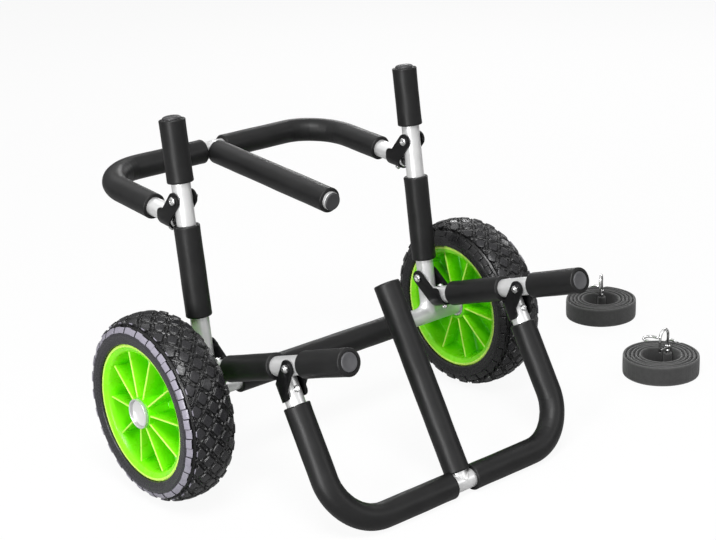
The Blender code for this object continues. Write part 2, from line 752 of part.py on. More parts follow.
def arm(side, fold, joint):
    x = across(fold, side)
    axis = Matrix.Translation((x, HINGE_OFFSET, 0))
    start = butt_station()
    tube = pipe(f"arm_tube_{side}", TUBE_RADIUS, TUBE_RADIUS - TUBE_WALL, start, ARM_LENGTH, TUBE_SIDES)
    combine(tube, fixing_hole(f"arm_{side}_screw_hole", joint, x), "DIFFERENCE")
    stand_pivot = (x, HINGE_OFFSET, STAND_PIVOT_STATION)
    combine(tube, pivot_hole(f"arm_{side}_stand_hole", joint, stand_pivot), "DIFFERENCE")
    place(tube, joint, axis, ALUMINIUM)
    foam_end = STAND_PIVOT_STATION - BEHIND_STAND_PIVOT
    rear = sleeve(f"arm_foam_{side}", BRACKET_END + BEHIND_ARM_FOAM, foam_end)
    place(rear, joint, axis, FOAM)
    grip_start = STAND_PIVOT_STATION + EAR_RADIUS + BEHIND_ARM_GRIP
    grip = sleeve(f"arm_grip_{side}", grip_start, ARM_LENGTH)
    place(grip, joint, axis, FOAM)
    flat_cap(f"arm_cap_{side}", joint, axis @ Matrix.Translation((0, 0, ARM_LENGTH)))
    bracket(f"arm_bracket_{side}", joint, x)
    fixing_screw(f"arm_bracket_screw_{side}", joint, x)


# The stand and the rack: a U with a prong

def half_u(x, leg_start):
    """From a station on the leg at x, through the bend, to a little beside the bar's middle."""
    toward_leg = math.copysign(1, x)
    bend_centre = (x - toward_leg * BEND_RADIUS, BAR_STATION - BEND_RADIUS)
    start = 0 if x > 0 else math.pi
    bend = arc(bend_centre, BEND_RADIUS, start, math.pi / 2, BEND_STEPS)
    flat = [(x, leg_start), *bend, (toward_leg * BAR_FOAM_GAP, BAR_STATION)]
    return [(along_bar, 0, along_leg) for along_bar, along_leg in flat]


def whole_u(leg_start):
    return [*half_u(-HALF_SPAN, leg_start), *reversed(half_u(HALF_SPAN, leg_start))]


def u_frame(name, fold, joint, bare_leg):
    """The bent tube with its prong, foam, cap, brackets and screws."""
    axis = Matrix.Translation((0, HINGE_OFFSET, 0))
    start = butt_station()
    bore_radius = TUBE_RADIUS - TUBE_WALL
    tube = swept(f"{name}_tube", whole_u(start), TUBE_RADIUS, TUBE_SIDES, capped=True)
    prong = pipe(f"{name}_prong", TUBE_RADIUS, bore_radius, -PRONG_BEYOND_PIVOT, BAR_STATION, TUBE_SIDES)
    combine(tube, place_cutter(prong, joint, axis), "UNION")
    bore = swept(f"{name}_bore", whole_u(start - TUBE_RADIUS), bore_radius, BORE_SIDES, capped=True)
    combine(tube, place_cutter(bore, joint, axis), "DIFFERENCE")
    for side in SIDES:
        x = across(fold, side)
        combine(tube, fixing_hole(f"{name}_{side}_screw_hole", joint, x), "DIFFERENCE")
        bracket(f"{name}_bracket_{side}", joint, x)
        fixing_screw(f"{name}_bracket_screw_{side}", joint, x)
    place(tube, joint, axis, ALUMINIUM)
    for side in SIDES:
        path = half_u(across(fold, side), BRACKET_END + bare_leg)
        foam = swept(f"{name}_foam_{side}", path, FOAM_RADIUS, TUBE_SIDES, capped=False)
        skin = foam.modifiers.new("thickness", "SOLIDIFY")
        skin.thickness = FOAM_RADIUS * math.cos(math.pi / TUBE_SIDES) - TUBE_RADIUS - SEAT_GAP
        skin.offset = -1
        place(foam, joint, axis, FOAM)
    collar = BAR_STATION - TUBE_RADIUS - PRONG_COLLAR
    place(sleeve(f"{name}_prong_foam", -PRONG_BEYOND_PIVOT, collar), joint, axis, FOAM)
    top = Matrix.Translation((0, 0, -PRONG_BEYOND_PIVOT)) @ Matrix.Rotation(math.pi, 4, "X")
    flat_cap(f"{name}_prong_cap", joint, axis @ top)


# Tie-down straps

def coil_radius(turns):
    """The radius of the webbing's middle line after a number of turns from the inner end."""
    return COIL_RADIUS - COIL_PITCH * (COIL_TURNS - turns)


def coil_path():
    steps = COIL_TURNS * COIL_POINTS
    path = []
    for i in range(steps + 1):
        a = 2 * math.pi * i / COIL_POINTS
        radius = coil_radius(i / COIL_POINTS)
        path.append(Vector((radius * math.cos(a), radius * math.sin(a))))
    return path


def eye_path(root, heading):
    """A loop of webbing that turns right, round a wire: the points after its root, and the wire's centre."""
    eye_radius = WIRE_RADIUS + EYE_CLEARANCE + WEBBING_THICKNESS / 2
    centre = root + Vector((heading.y, -heading.x)) * eye_radius
    begin = math.atan2(heading.x, -heading.y)
    loop = arc(centre, eye_radius, begin, begin - EYE_SWEEP, EYE_POINTS)
    return [Vector(point) for point in loop[1:]], centre


def webbing_path():
    """Inner eye, coil and outer eye, with each point's half width, both wires and the outer heading."""
    coil = coil_path()
    inner_heading = (coil[0] - coil[1]).normalized()
    outer_heading = (coil[-1] - coil[-2]).normalized()
    inner_eye, inner_wire = eye_path(coil[0], inner_heading)
    outer_root = coil[-1] + outer_heading * EYE_LEAD
    outer_eye, outer_wire = eye_path(outer_root, outer_heading)
    path = [*reversed(inner_eye), *coil, outer_root, *outer_eye]
    half_widths = [
        *[EYE_WIDTH / 2] * (len(inner_eye) + 2),
        *[WEBBING_WIDTH / 2] * (len(coil) - 2),
        *[EYE_WIDTH / 2] * (len(outer_eye) + 1),
    ]
    return path, half_widths, inner_wire, outer_wire, outer_heading


def least_self_gap(path):
    """The least clear distance between two stretches of the webbing that don't follow each other."""
    least = COIL_RADIUS
    apart = 3 * WEBBING_THICKNESS
    run = [0.0]
    for first, second in zip(path, path[1:]):
        run.append(run[-1] + (second - first).length)
    for i, first in enumerate(path):
        for j in range(i + 1, len(path)):
            if run[j] - run[i] > apart:
                least = min(least, (path[j] - first).length - WEBBING_THICKNESS)
    return least


def facing(centre, level, heading):
    """Axes at a wire's centre, X along the heading."""
    turn = Matrix.Rotation(math.atan2(heading.y, heading.x), 4, "Z")
    return Matrix.Translation((centre.x, centre.y, level)) @ turn


def strap_hook(name, parent, centre, heading):
    """A wire D through the outer eye, with a shank and a J hook, lying level at half the webbing's width."""
    level = WEBBING_WIDTH / 2
    half_bar = EYE_WIDTH / 2 + SEAT_GAP + WIRE_RADIUS
    clear_of_eye = WIRE_RADIUS + EYE_CLEARANCE + WEBBING_THICKNESS
    bow = arc((clear_of_eye, 0), half_bar, -math.pi / 2, math.pi / 2, RING_STEPS)
    ring = [(0, -half_bar), *bow, (0, half_bar)]
    tip_x = clear_of_eye + half_bar
    end_x = tip_x + HOOK_SHANK
    hook = arc((end_x, HOOK_RADIUS), HOOK_RADIUS, -math.pi / 2, math.pi / 2, HOOK_STEPS)
    shank = [(tip_x, 0), *hook, (end_x - HOOK_TIP, 2 * HOOK_RADIUS)]
    frame = facing(centre, level, heading)
    loop = swept(name, [(x, 0, z) for x, z in ring], WIRE_RADIUS, WIRE_SIDES, capped=False, cyclic=True)
    stem = swept(f"{name}_stem", [(x, -y, 0) for x, y in shank], WIRE_RADIUS, WIRE_SIDES, capped=True)
    combine(loop, place_cutter(stem, parent, frame), "UNION")
    place(loop, parent, frame, ZINC)


def strap_inner_hook(name, parent, centre):
    """A wire through the inner eye that rises out of the coil and turns over, with a foot under the eye."""
    top = WEBBING_WIDTH + INNER_HOOK_RISE
    inward = -centre.normalized()
    over = arc((INNER_HOOK_RADIUS, top), INNER_HOOK_RADIUS, math.pi, 0, HOOK_STEPS)
    eye_bottom = (WEBBING_WIDTH - EYE_WIDTH) / 2
    start = eye_bottom - SEAT_GAP - HOOK_FOOT_HEIGHT
    flat = [(0, start), *over, (2 * INNER_HOOK_RADIUS, top - INNER_HOOK_DROP)]
    path = [(out, 0, up) for out, up in flat]
    frame = facing(centre, 0, inward)
    wire = swept(name, path, WIRE_RADIUS, WIRE_SIDES, capped=True)
    foot = rod(f"{name}_foot", HOOK_FOOT_RADIUS, start, start + HOOK_FOOT_HEIGHT, BOLT_SIDES)
    combine(wire, place_cutter(foot, parent, frame), "UNION")
    place(wire, parent, frame, ZINC)


def strap(name):
    frame = Matrix.Translation((*STRAP_CENTRES[name], 0)) @ Matrix.Rotation(STRAP_TURN[name], 4, "Z")
    axes = empty(f"{name}_axes", frame)
    path, half_widths, inner_wire, outer_wire, heading = webbing_path()
    middle = WEBBING_WIDTH / 2
    lows = [middle - half for half in half_widths]
    highs = [middle + half for half in half_widths]
    band = ribbon(f"{name}_band", path, lows, highs, WEBBING_THICKNESS)
    place(band, axes, Matrix.Identity(4), WEBBING)
    strap_hook(f"{name}_outer_hook", axes, outer_wire, heading)
    strap_inner_hook(f"{name}_inner_hook", axes, inner_wire)
    print(f"{name}: least gap of the webbing to itself {least_self_gap(path) * 1000:.2f} mm")


def build():
    lean = lean_that_rests_the_stand()
    frames = assembly_frames(axle_place(lean), lean)
    axle = empty("axle_axes", frames["axle"])
    upright = empty("upright_axes", axle.matrix_basis.inverted() @ frames["upright"], axle)
    arm_joint = empty("arm_joint", frames["upright"].inverted() @ frames["arm"], upright)
    stand_joint = empty("stand_joint", frames["arm"].inverted() @ frames["stand"], arm_joint)
    rack_joint = empty("rack_joint", frames["upright"].inverted() @ frames["rack"], upright)
    half_axle = wheel_middle() + HUB_OUTER_FACE
    frame_weldment(upright, half_axle)
    upright_dressing(upright)
    for side in SIDES:
        wheel(side, axle)
        wheel_retainers(side, upright)
        arm(side, frames["arm"], arm_joint)
        stand_pivot = (across(frames["arm"], side), HINGE_OFFSET, STAND_PIVOT_STATION)
        pivot_bolt(f"stand_pivot_bolt_{side}", arm_joint, stand_pivot)
    u_frame("stand", frames["stand"], stand_joint, STAND_BARE_LEG)
    u_frame("rack", frames["rack"], rack_joint, RACK_BARE_LEG)
    for name in STRAP_CENTRES:
        strap(name)


build()
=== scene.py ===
"""The folding surfboard cart's looks: detailed pieces, materials, a studio and the photograph's camera."""

import json
import math

import bmesh
import bpy
import numpy as np
from mathutils import Matrix, Vector


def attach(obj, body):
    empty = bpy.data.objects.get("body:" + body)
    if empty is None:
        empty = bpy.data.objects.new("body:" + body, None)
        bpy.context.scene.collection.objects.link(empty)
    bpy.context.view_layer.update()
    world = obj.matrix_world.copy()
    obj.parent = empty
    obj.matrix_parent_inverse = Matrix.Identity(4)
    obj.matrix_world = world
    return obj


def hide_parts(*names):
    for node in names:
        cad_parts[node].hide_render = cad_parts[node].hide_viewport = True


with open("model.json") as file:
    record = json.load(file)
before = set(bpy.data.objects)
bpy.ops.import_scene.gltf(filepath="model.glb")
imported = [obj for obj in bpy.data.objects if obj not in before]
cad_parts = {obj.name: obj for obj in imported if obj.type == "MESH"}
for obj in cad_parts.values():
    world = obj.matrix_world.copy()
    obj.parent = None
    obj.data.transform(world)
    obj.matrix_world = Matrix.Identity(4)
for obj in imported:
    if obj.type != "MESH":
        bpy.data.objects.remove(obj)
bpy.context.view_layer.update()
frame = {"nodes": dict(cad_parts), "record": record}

# Sizes shared with the CAD, in metres
TUBE_R = 0.0127
TUBE_WALL = 0.0016
FOAM_R = 0.0175
GAP = 0.0003
HALF_SPAN = 0.2004
UPRIGHT_LENGTH = 0.3675
AXLE_FOAM_HALF = 0.155
BRACKET_ANGLE = math.radians(78.54)
HINGE_OFFSET = 0.0307
ARM_PIVOT = 0.0584
RACK_PIVOT = 0.262
STAND_PIVOT = 0.2024
ARM_LENGTH = 0.3098
BAR_STATION = 0.2141
PRONG_BEYOND = 0.0627
RACK_PRONG_BARE = 0.0045
BEND_R = 0.070
BAR_FOAM_GAP = 0.0175
STAND_FOAM = 0.046
RACK_FOAM = 0.067
LOWER_FOAM = 0.124
LOWER_STATION = {"left": 0.103, "right": 0.0845}
UPRIGHT_GRIP = 0.0835
BEHIND_ARM_FOAM = 0.0139
BEFORE_STAND_PIVOT = 0.0408
BEHIND_ARM_GRIP = 0.0092
SHEET = 0.0025
EAR_GAP = 0.0005
EAR_R = 0.0107
EAR_SLANT = math.radians(54.6)
SADDLE_STATION = 0.012
BRACKET_END = 0.0378
BRACKET_CORNER = 0.008
SCREW_STATION = 0.027
WHEEL_MIDDLE = 0.277
TYRE_R = 0.127
TYRE_HALF = 0.0392
TYRE_WIDEST = 0.1025
TYRE_FULLNESS = 2.25
TREAD = 0.0025
LIP_R = 0.0928
RIM_HALF = 0.0334
FLANGE = 0.003
BEAD_SEAT = 0.0835
MOUTH_R = 0.0804
MOUTH_DEPTH = 0.0034
ROOT_R = 0.077
WEB_HALF = 0.002
RIB_COUNT = 10
RIB_T = 0.0026
RIB_END = 0.0262
RIB_PHASE = math.radians(21)
HUB_R = 0.0208
HUB_OUT = 0.0335
HUB_IN = 0.0265
BUSH_WALL = 0.003
RING_T = 0.0016
AXLE_CAP_R = 0.0200
PLUG_R = TUBE_R - TUBE_WALL - GAP
PLUG_LENGTH = 0.012
AXLE_Y = 0.01996
LEAN = math.radians(6.675)

# Sizes of what the solids leave plain
FOAM_PAST = 0.0022
FOAM_TO_BAR = 0.0005
FLAT_CAP_T = 0.0025
DOME_STEP, DOME_RISE = 0.0006, 0.0039
TUBE_EDGE = 0.0004
ON_AXIS = 0.0002
PIVOT_HOLE, SCREW_HOLE = 0.0034, 0.0026

# Radii of shanks, radii and heights of heads and nuts
PIVOT_BOLT = {"shank": 0.003, "head": (0.0058, 0.0034), "nut": (0.0056, 0.0048)}
FIXING_SCREW = {"shank": 0.0022, "head": (0.0045, 0.0026), "nut": (0.0044, 0.0035)}

SIDES = {"left": -1, "right": 1}


def shift(x, y, z):
    return Matrix.Translation((x, y, z))


def rotation(angle, axis):
    return Matrix.Rotation(angle, 4, axis)


ALONG_X = rotation(math.pi / 2, "Y")
ALONG_Y = rotation(-math.pi / 2, "X")


def fold_frame(tube, station, forward):
    """Where a pair of tubes folds on another pair: Z runs out along them from the line of pivots."""
    about = rotation(math.pi if forward else 0, "Z")
    return tube @ shift(0, 0, station) @ about @ rotation(-BRACKET_ANGLE, "X")


def beside(fold, x=0):
    """The axis of a folding tube, which lies beside its pivot."""
    return fold @ shift(x, HINGE_OFFSET, 0)


AXLE = shift(0, AXLE_Y, TYRE_R)
UPRIGHT = AXLE @ rotation(-LEAN, "X")
ARM = fold_frame(UPRIGHT, ARM_PIVOT, True)
STAND = fold_frame(beside(ARM), STAND_PIVOT, False)
RACK = fold_frame(UPRIGHT, RACK_PIVOT, False)

BUTT = (TUBE_R - (HINGE_OFFSET - TUBE_R) * math.cos(BRACKET_ANGLE)) / math.sin(BRACKET_ANGLE) + GAP
EAR_OUTER = TUBE_R + EAR_GAP + SHEET
SLIP_BORE = (TUBE_R + GAP) / math.cos(math.pi / 12)


def across(fold, side):
    """The x of a side's tube in a frame that may be turned about."""
    return SIDES[side] * math.copysign(HALF_SPAN, fold[0][0])


# Materials

def grey(value):
    return (value, value, value)


class Nodes:
    """The nodes of a material or world. An input is fed a plain value or another node's output."""

    def __init__(self, holder):
        holder.use_nodes = True
        self.tree = holder.node_tree

    def feed(self, target, inputs):
        for key, value in inputs.items():
            if isinstance(value, bpy.types.NodeSocket):
                self.tree.links.new(value, target.inputs[key])
            else:
                target.inputs[key].default_value = value

    def add(self, kind, output, inputs=None, **settings):
        made = self.tree.nodes.new(f"ShaderNode{kind}")
        for key, value in settings.items():
            setattr(made, key, value)
        self.feed(made, inputs or {})
        return made.outputs[output]

    def surface(self, colour, roughness, normal=None, **constants):
        """Feeds the material's shader. A constant's keyword has an underscore for each space."""
        inputs = {key.replace("_", " "): value for key, value in constants.items()}
        inputs.update({"Base Color": colour, "Roughness": roughness})
        if normal:
            inputs["Normal"] = normal
        self.feed(self.tree.nodes["Principled BSDF"], inputs)

    def noise(self, scale, detail=3):
        where = self.add("TexCoord", "Object")
        inputs = {"Vector": where, "Scale": scale, "Detail": detail, "Roughness": 0.55}
        return self.add("TexNoise", "Fac", inputs)

    def ramp(self, value, *stops):
        made = self.tree.nodes.new("ShaderNodeValToRGB")
        points = made.color_ramp.elements
        while len(points) < len(stops):
            points.new(0.5)
        for point, (at, colour) in zip(points, stops):
            point.position = at
            point.color = (*colour, 1)
        self.feed(made, {"Fac": value})
        return made.outputs["Color"]

    def range(self, value, low, high, to_low, to_high):
        ends = {"From Min": low, "From Max": high, "To Min": to_low, "To Max": to_high}
        return self.add("MapRange", "Result", {"Value": value, **ends})

    def spread(self, cloud, low, high):
        """A noise spread over a range."""
        return self.range(cloud, 0.3, 0.7, low, high)

    def bump(self, height, strength, distance, after=None):
        inputs = {"Height": height, "Strength": strength, "Distance": distance}
        if after:
            inputs["Normal"] = after
        return self.add("Bump", "Normal", inputs)

    def math(self, operation, *values):
        return self.add("Math", "Value", dict(enumerate(values)), operation=operation)

    def tint(self):
        """The value that each point of a mesh carries for its colour, which in places holds painted light and
        shade.
        """
        return self.add("Attribute", "Fac", attribute_name="tint")


def new_material(name):
    material = bpy.data.materials.new(name)
    return material, Nodes(material)


def clouded(name, scale, stops, gloss, grain, **constants):
    """A material mottled between two colours and two roughnesses, under a fine grain."""
    material, nodes = new_material(name)
    cloud = nodes.noise(scale)
    grain_scale, strength, distance = grain
    normal = nodes.bump(nodes.noise(grain_scale, 2), strength, distance)
    nodes.surface(nodes.ramp(cloud, *stops), nodes.spread(cloud, *gloss), normal, **constants)
    return material


def plastic(name, low, high, roughness, specular=0.5):
    gloss = (roughness - 0.04, roughness + 0.06)
    stops, grain = [(0.3, low), (0.7, high)], (1400, 0.2, 0.00008)
    return clouded(name, 120, stops, gloss, grain, Specular_IOR_Level=specular)


def metal(name, low, high, *gloss):
    stops, grain = [(0.3, grey(low)), (0.7, grey(high))], (2200, 0.1, 0.00004)
    return clouded(name, 240, stops, gloss, grain, Metallic=1.0)


def foam_material():
    """Closed-cell foam tube: a fine pebbled skin, faint mottling and a soft sheen."""
    material, nodes = new_material("charcoal_foam")
    cloud = nodes.noise(38)
    where = nodes.add("TexCoord", "Object")
    pores = nodes.add("TexVoronoi", "Distance", {"Vector": where, "Scale": 900}, feature="F1")
    colour = nodes.ramp(cloud, (0.35, (0.0070, 0.0070, 0.0072)), (0.7, (0.0100, 0.0100, 0.0103)))
    normal = nodes.bump(nodes.noise(1500, 2), 0.3, 0.0001, nodes.bump(pores, 0.25, 0.00012))
    nodes.surface(colour, nodes.spread(cloud, 0.40, 0.46), normal, Specular_IOR_Level=0.29)
    return material


def powder_material():
    """Black powder coat with an orange-peel surface, a little rubbed at its edges."""
    material, nodes = new_material("black_powder_coat")
    cloud = nodes.noise(90)
    edge = nodes.range(nodes.add("NewGeometry", "Pointiness"), 0.53, 0.60, 0.0, 1.0)
    worn = nodes.math("MULTIPLY", edge, nodes.range(cloud, 0.5, 0.62, 0.0, 0.8))
    colours = {6: (0.0045, 0.0045, 0.005, 1), 7: (0.030, 0.030, 0.032, 1)}
    colour = nodes.add("Mix", 2, {"Factor": worn, **colours}, data_type="RGBA")
    normal = nodes.bump(nodes.noise(700, 2), 0.22, 0.00012)
    nodes.surface(colour, nodes.spread(cloud, 0.30, 0.40), normal, Specular_IOR_Level=0.22)
    return material


def cap_metal():
    """Pressed bright cap: a plain satin floor and a wall tinted greyer as painted shade."""
    material, nodes = new_material("bright_cap_metal")
    cloud = nodes.noise(150, 2)
    shade = nodes.math("ADD", nodes.tint(), nodes.spread(cloud, -0.03, 0.03))
    colour = nodes.ramp(shade, (0.0, grey(0.34)), (1.0, grey(0.96)))
    nodes.surface(colour, nodes.spread(cloud, 0.30, 0.36), Metallic=0.58)
    return material


def lime_material():
    """Moulded lime plastic, its tint carrying painted light: painted shade deepens the green in the web's
    pockets, and a painted highlight lightens ribs and lip to yellow-green.
    """
    material, nodes = new_material("lime_plastic")
    cloud = nodes.noise(45)
    shade = nodes.math("ADD", nodes.tint(), nodes.spread(cloud, -0.05, 0.05))
    colour = nodes.ramp(
        shade, (0.0, (0.020, 0.36, 0.0)), (0.45, (0.125, 0.72, 0.0)), (0.75, (0.28, 0.90, 0.012)),
        (1.0, (0.63, 0.98, 0.15)))
    nodes.surface(
        colour, nodes.spread(cloud, 0.24, 0.32), nodes.bump(nodes.noise(900, 2), 0.08, 0.00006),
        Specular_IOR_Level=0.38, Subsurface_Weight=0.15, Subsurface_Radius=(0.004, 0.006, 0.001))
    return material


def tyre_material():
    """Foamed tyre: glossy black tread, its tint carrying painted light: lighter pads and edge flecks as
    painted sheen and glints, and a violet-grey painted sheen on the outer blocks and sidewall.
    """
    material, nodes = new_material("tyre_rubber")
    shade = nodes.math("ADD", nodes.tint(), nodes.spread(nodes.noise(70, 4), -0.04, 0.04))
    colour = nodes.ramp(
        shade, (0.0, (0.0018, 0.0018, 0.0020)), (0.35, (0.0100, 0.0100, 0.0107)),
        (0.7, (0.032, 0.031, 0.037)), (1.0, (0.29, 0.275, 0.33)))
    fine = nodes.noise(420, 4)
    normal = nodes.bump(nodes.noise(1600, 2), 0.2, 0.0001, nodes.bump(fine, 0.5, 0.0003))
    nodes.surface(colour, nodes.range(fine, 0.35, 0.65, 0.18, 0.42), normal, Specular_IOR_Level=0.42)
    return material


def webbing_material():
    """Woven polyester webbing: slanting picks across fine warp cords, painted shade in the weave's hollows,
    lighter selvedges.
    """
    material, nodes = new_material("grey_webbing")
    cord, pick = 0.0012, 0.0022
    split = {"Vector": nodes.add("TexCoord", "UV")}
    along, over = (nodes.add("SeparateXYZ", axis, split) for axis in "XY")
    warp = nodes.math("ABSOLUTE", nodes.math("SINE", nodes.math("MULTIPLY", over, math.pi / cord)))
    slant = nodes.math("MULTIPLY", nodes.math("FLOOR", nodes.math("DIVIDE", over, cord)), 0.5)
    turns = nodes.math("ADD", nodes.math("DIVIDE", along, pick), slant)
    weft = nodes.range(nodes.math("SINE", nodes.math("MULTIPLY", turns, 2 * math.pi)), -1, 1, 0, 1)
    height = nodes.math("MULTIPLY", warp, weft)
    # Painted shade: the weave's hollows darker than its raised cords
    painted_weave_shade = nodes.math("MULTIPLY", height, 0.45)
    shade = nodes.math("ADD", painted_weave_shade, nodes.math("MULTIPLY", nodes.noise(160, 4), 0.35))
    shade = nodes.math("ADD", shade, nodes.math("MULTIPLY", nodes.tint(), 0.45))
    colour = nodes.ramp(shade, (0.1, grey(0.018)), (0.6, grey(0.052)), (1.0, grey(0.115)))
    nodes.surface(colour, 0.82, nodes.bump(height, 0.6, 0.0003), Sheen_Weight=0.25, Sheen_Roughness=0.5)
    return material


DARK_CAP = plastic("dark_cap_plastic", (0.030, 0.030, 0.032), (0.042, 0.042, 0.045), 0.42)
BRIGHT = cap_metal()
SLOT_MATERIAL = {
    "tube": clouded(
        "satin_aluminium", 60, [(0.3, grey(0.77)), (0.75, grey(0.83))], (0.33, 0.40), (900, 0.12, 0.00005),
        Metallic=0.56),
    "foam": foam_material(),
    "cap": plastic("cap_plastic", (0.075, 0.075, 0.08), (0.095, 0.095, 0.10), 0.48, 0.3),
    "powder_coat": powder_material(),
    "zinc": metal("zinc_plate", 0.62, 0.78, 0.20, 0.32),
    "tyre": tyre_material(),
    "rim": lime_material(),
    "bush": plastic("bush_plastic", grey(0.60), grey(0.70), 0.35),
    "webbing": webbing_material(),
    "wire": metal("nickel_wire", 0.66, 0.80, 0.10, 0.20),
}
for subpart in frame["record"]["subparts"]:
    solid = bpy.data.objects.get(subpart["node"]) or frame["nodes"][subpart["node"]]
    solid.data.materials.clear()
    solid.data.materials.append(SLOT_MATERIAL[subpart["material_slot"]])


# Meshes: points are gathered in metres, in the cart's own axes

def around(count):
    """The angles of equal steps round a circle."""
    return np.arange(count) * 2 * math.pi / count


def circle(count):
    return np.cos(around(count)), np.sin(around(count))


def moved(matrix, points):
    turn = np.array(matrix)
    return points @ turn[:3, :3].T + turn[:3, 3]


class Shape:
    """Skins gathered into one mesh, with a tint and a length and width for each point."""

    def __init__(self):
        self.points, self.faces, self.tints, self.cloth = [], [], [], []
        self.count = 0

    def skin(self, rings, matrix, wrap=False, capped=False, tint=0.0, cloth=None):
        """A surface through rings of points, each ring closed on itself."""
        rings = np.asarray(rings, float)
        rows, columns = rings.shape[:2]
        low = np.arange(rows if wrap else rows - 1)[:, None] * columns
        high = (low + columns) % (rows * columns)
        here = np.arange(columns)[None, :]
        beyond = (here + 1) % columns
        quads = np.stack([low + here, low + beyond, high + beyond, high + here], -1).reshape(-1, 4)
        self.faces += (quads + self.count).tolist()
        if capped:
            self.faces.append((np.arange(columns)[::-1] + self.count).tolist())
            self.faces.append((np.arange(columns) + (rows - 1) * columns + self.count).tolist())
        self.points.append(moved(matrix, rings.reshape(-1, 3)))
        self.tints.append(np.broadcast_to(tint, (rows, columns)).ravel())
        if cloth is not None:
            self.cloth.append(cloth.reshape(-1, 2))
        self.count += rows * columns
        return self


def face_outward(mesh):
    bm = bmesh.new()
    bm.from_mesh(mesh)
    bmesh.ops.recalc_face_normals(bm, faces=bm.faces)
    bm.to_mesh(mesh)
    bm.free()


def mesh_from(name, shape):
    mesh = bpy.data.meshes.new(name)
    mesh.from_pydata(np.concatenate(shape.points).tolist(), [], shape.faces)
    face_outward(mesh)
    tint = mesh.attributes.new("tint", "FLOAT", "POINT")
    tint.data.foreach_set("value", np.concatenate(shape.tints).astype(np.float32))
    if shape.cloth:
        corners = np.empty(len(mesh.loops), np.int32)
        mesh.loops.foreach_get("vertex_index", corners)
        layer = mesh.uv_layers.new(name="UVMap")
        layer.data.foreach_set("uv", np.concatenate(shape.cloth)[corners].astype(np.float32).ravel())
    return mesh


def placed(name, data):
    obj = bpy.data.objects.new(name, data)
    bpy.context.scene.collection.objects.link(obj)
    return obj


def dress(node, mesh, slot, body, material=None, sharp=42):
    """Puts a finished mesh in the scene for the node that it stands for, smooth up to so many degrees."""
    mesh.shade_smooth()
    mesh.set_sharp_from_angle(angle=math.radians(sharp))
    mesh.materials.append(material or SLOT_MATERIAL[slot])
    obj = placed(f"{node}_shown", mesh)
    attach(obj, body)
    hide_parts(node)


def part(node, shape, slot, body, material=None, sharp=42):
    dress(node, mesh_from(f"{node}_shown", shape), slot, body, material, sharp)


def turned(profile, segments=64):
    """Rings of a profile of (radius, height) about Z. Either may be an array over the angle."""
    c, s = circle(segments)
    return np.array([np.stack([radius * c, radius * s, np.broadcast_to(height, segments)], -1)
                     for radius, height in profile])


def unit(vector):
    return vector / np.linalg.norm(vector)


def units(vectors):
    return vectors / np.linalg.norm(vectors, axis=1)[:, None]


def curve(first, corner, last, steps):
    """A curve that leaves one end toward a corner and reaches the other end from it."""
    return [(1 - t) ** 2 * first + 2 * t * (1 - t) * corner + t * t * last
            for t in np.linspace(0, 1, steps + 1)]


def eased(corners, cut, steps=4, closed=False):
    """A line of corners with each one rounded off, its ends excepted unless it is closed."""
    corners = np.array(corners, float)
    line = []
    for i, corner in enumerate(corners):
        if not closed and i in (0, len(corners) - 1):
            line.append(corner)
            continue
        before = corners[i - 1] - corner
        after = corners[(i + 1) % len(corners)] - corner
        reach = min(cut, 0.45 * np.linalg.norm(before), 0.45 * np.linalg.norm(after))
        line += curve(corner + unit(before) * reach, corner, corner + unit(after) * reach, steps)
    return line


def dense(points, spacing=0.003):
    """The same line of points with none further apart than the spacing."""
    line = [np.array(points[0], float)]
    for point in points[1:]:
        start = line[-1]
        count = max(1, math.ceil(np.linalg.norm(point - start) / spacing))
        line += [start + (point - start) * i / count for i in range(1, count + 1)]
    return line


def arc(centre, radius, start, end, steps):
    angles = [start + (end - start) * i / steps for i in range(steps + 1)]
    return [(centre[0] + radius * math.cos(a), centre[1] + radius * math.sin(a)) for a in angles]


class Path:
    """A flat line of points, read by its length."""

    def __init__(self, points, normal):
        self.points = np.array(points, float)
        self.normal = np.array(normal, float)
        self.run = np.concatenate([[0], np.cumsum(np.linalg.norm(np.diff(self.points, axis=0), axis=1))])
        self.length = self.run[-1]
        self.sides = np.cross(self.normal, units(np.gradient(self.points, self.run, axis=0)))

    def at(self, stations):
        """The points at stations, and the directions to their side."""
        return [np.stack([np.interp(stations, self.run, axis) for axis in line.T], -1)
                for line in (self.points, self.sides)]

    def rings(self, stations, radii, sides=64):
        """Round rings at stations. Each radius may be an array over the angle."""
        c, s = circle(sides)
        centres, over = self.at(stations)
        radii = np.array([np.broadcast_to(radius, sides) for radius in radii])
        spokes = c[:, None] * over[:, None] + s[:, None] * self.normal
        return centres[:, None] + radii[..., None] * spokes


def straight(start, end):
    return Path(dense([(0, 0, start), (0, 0, end)]), (0, 1, 0))


# Foam sleeves and tubes

# Height, lobes round the sleeve, waves along it and share of the seed
SKIN_WAVES = ((0.00009, 2, 47, 1), (0.00007, 3, -71, 2.3), (0.00005, 5, 137, 1.7))
# Shares of the bend's length
CREASES = np.array([0.14, 0.30, 0.45, 0.60, 0.76, 0.9])


def hollow(shape, path, matrix, stations, radii, bore, sides=64):
    """A skin along a path, with a plain bore back through it."""
    back = np.append(np.arange(path.length, 0, -0.004), 0.0)
    rings = [path.rings(stations, radii, sides), path.rings(back, np.full(len(back), bore), sides)]
    return shape.skin(np.concatenate(rings), matrix, wrap=True)


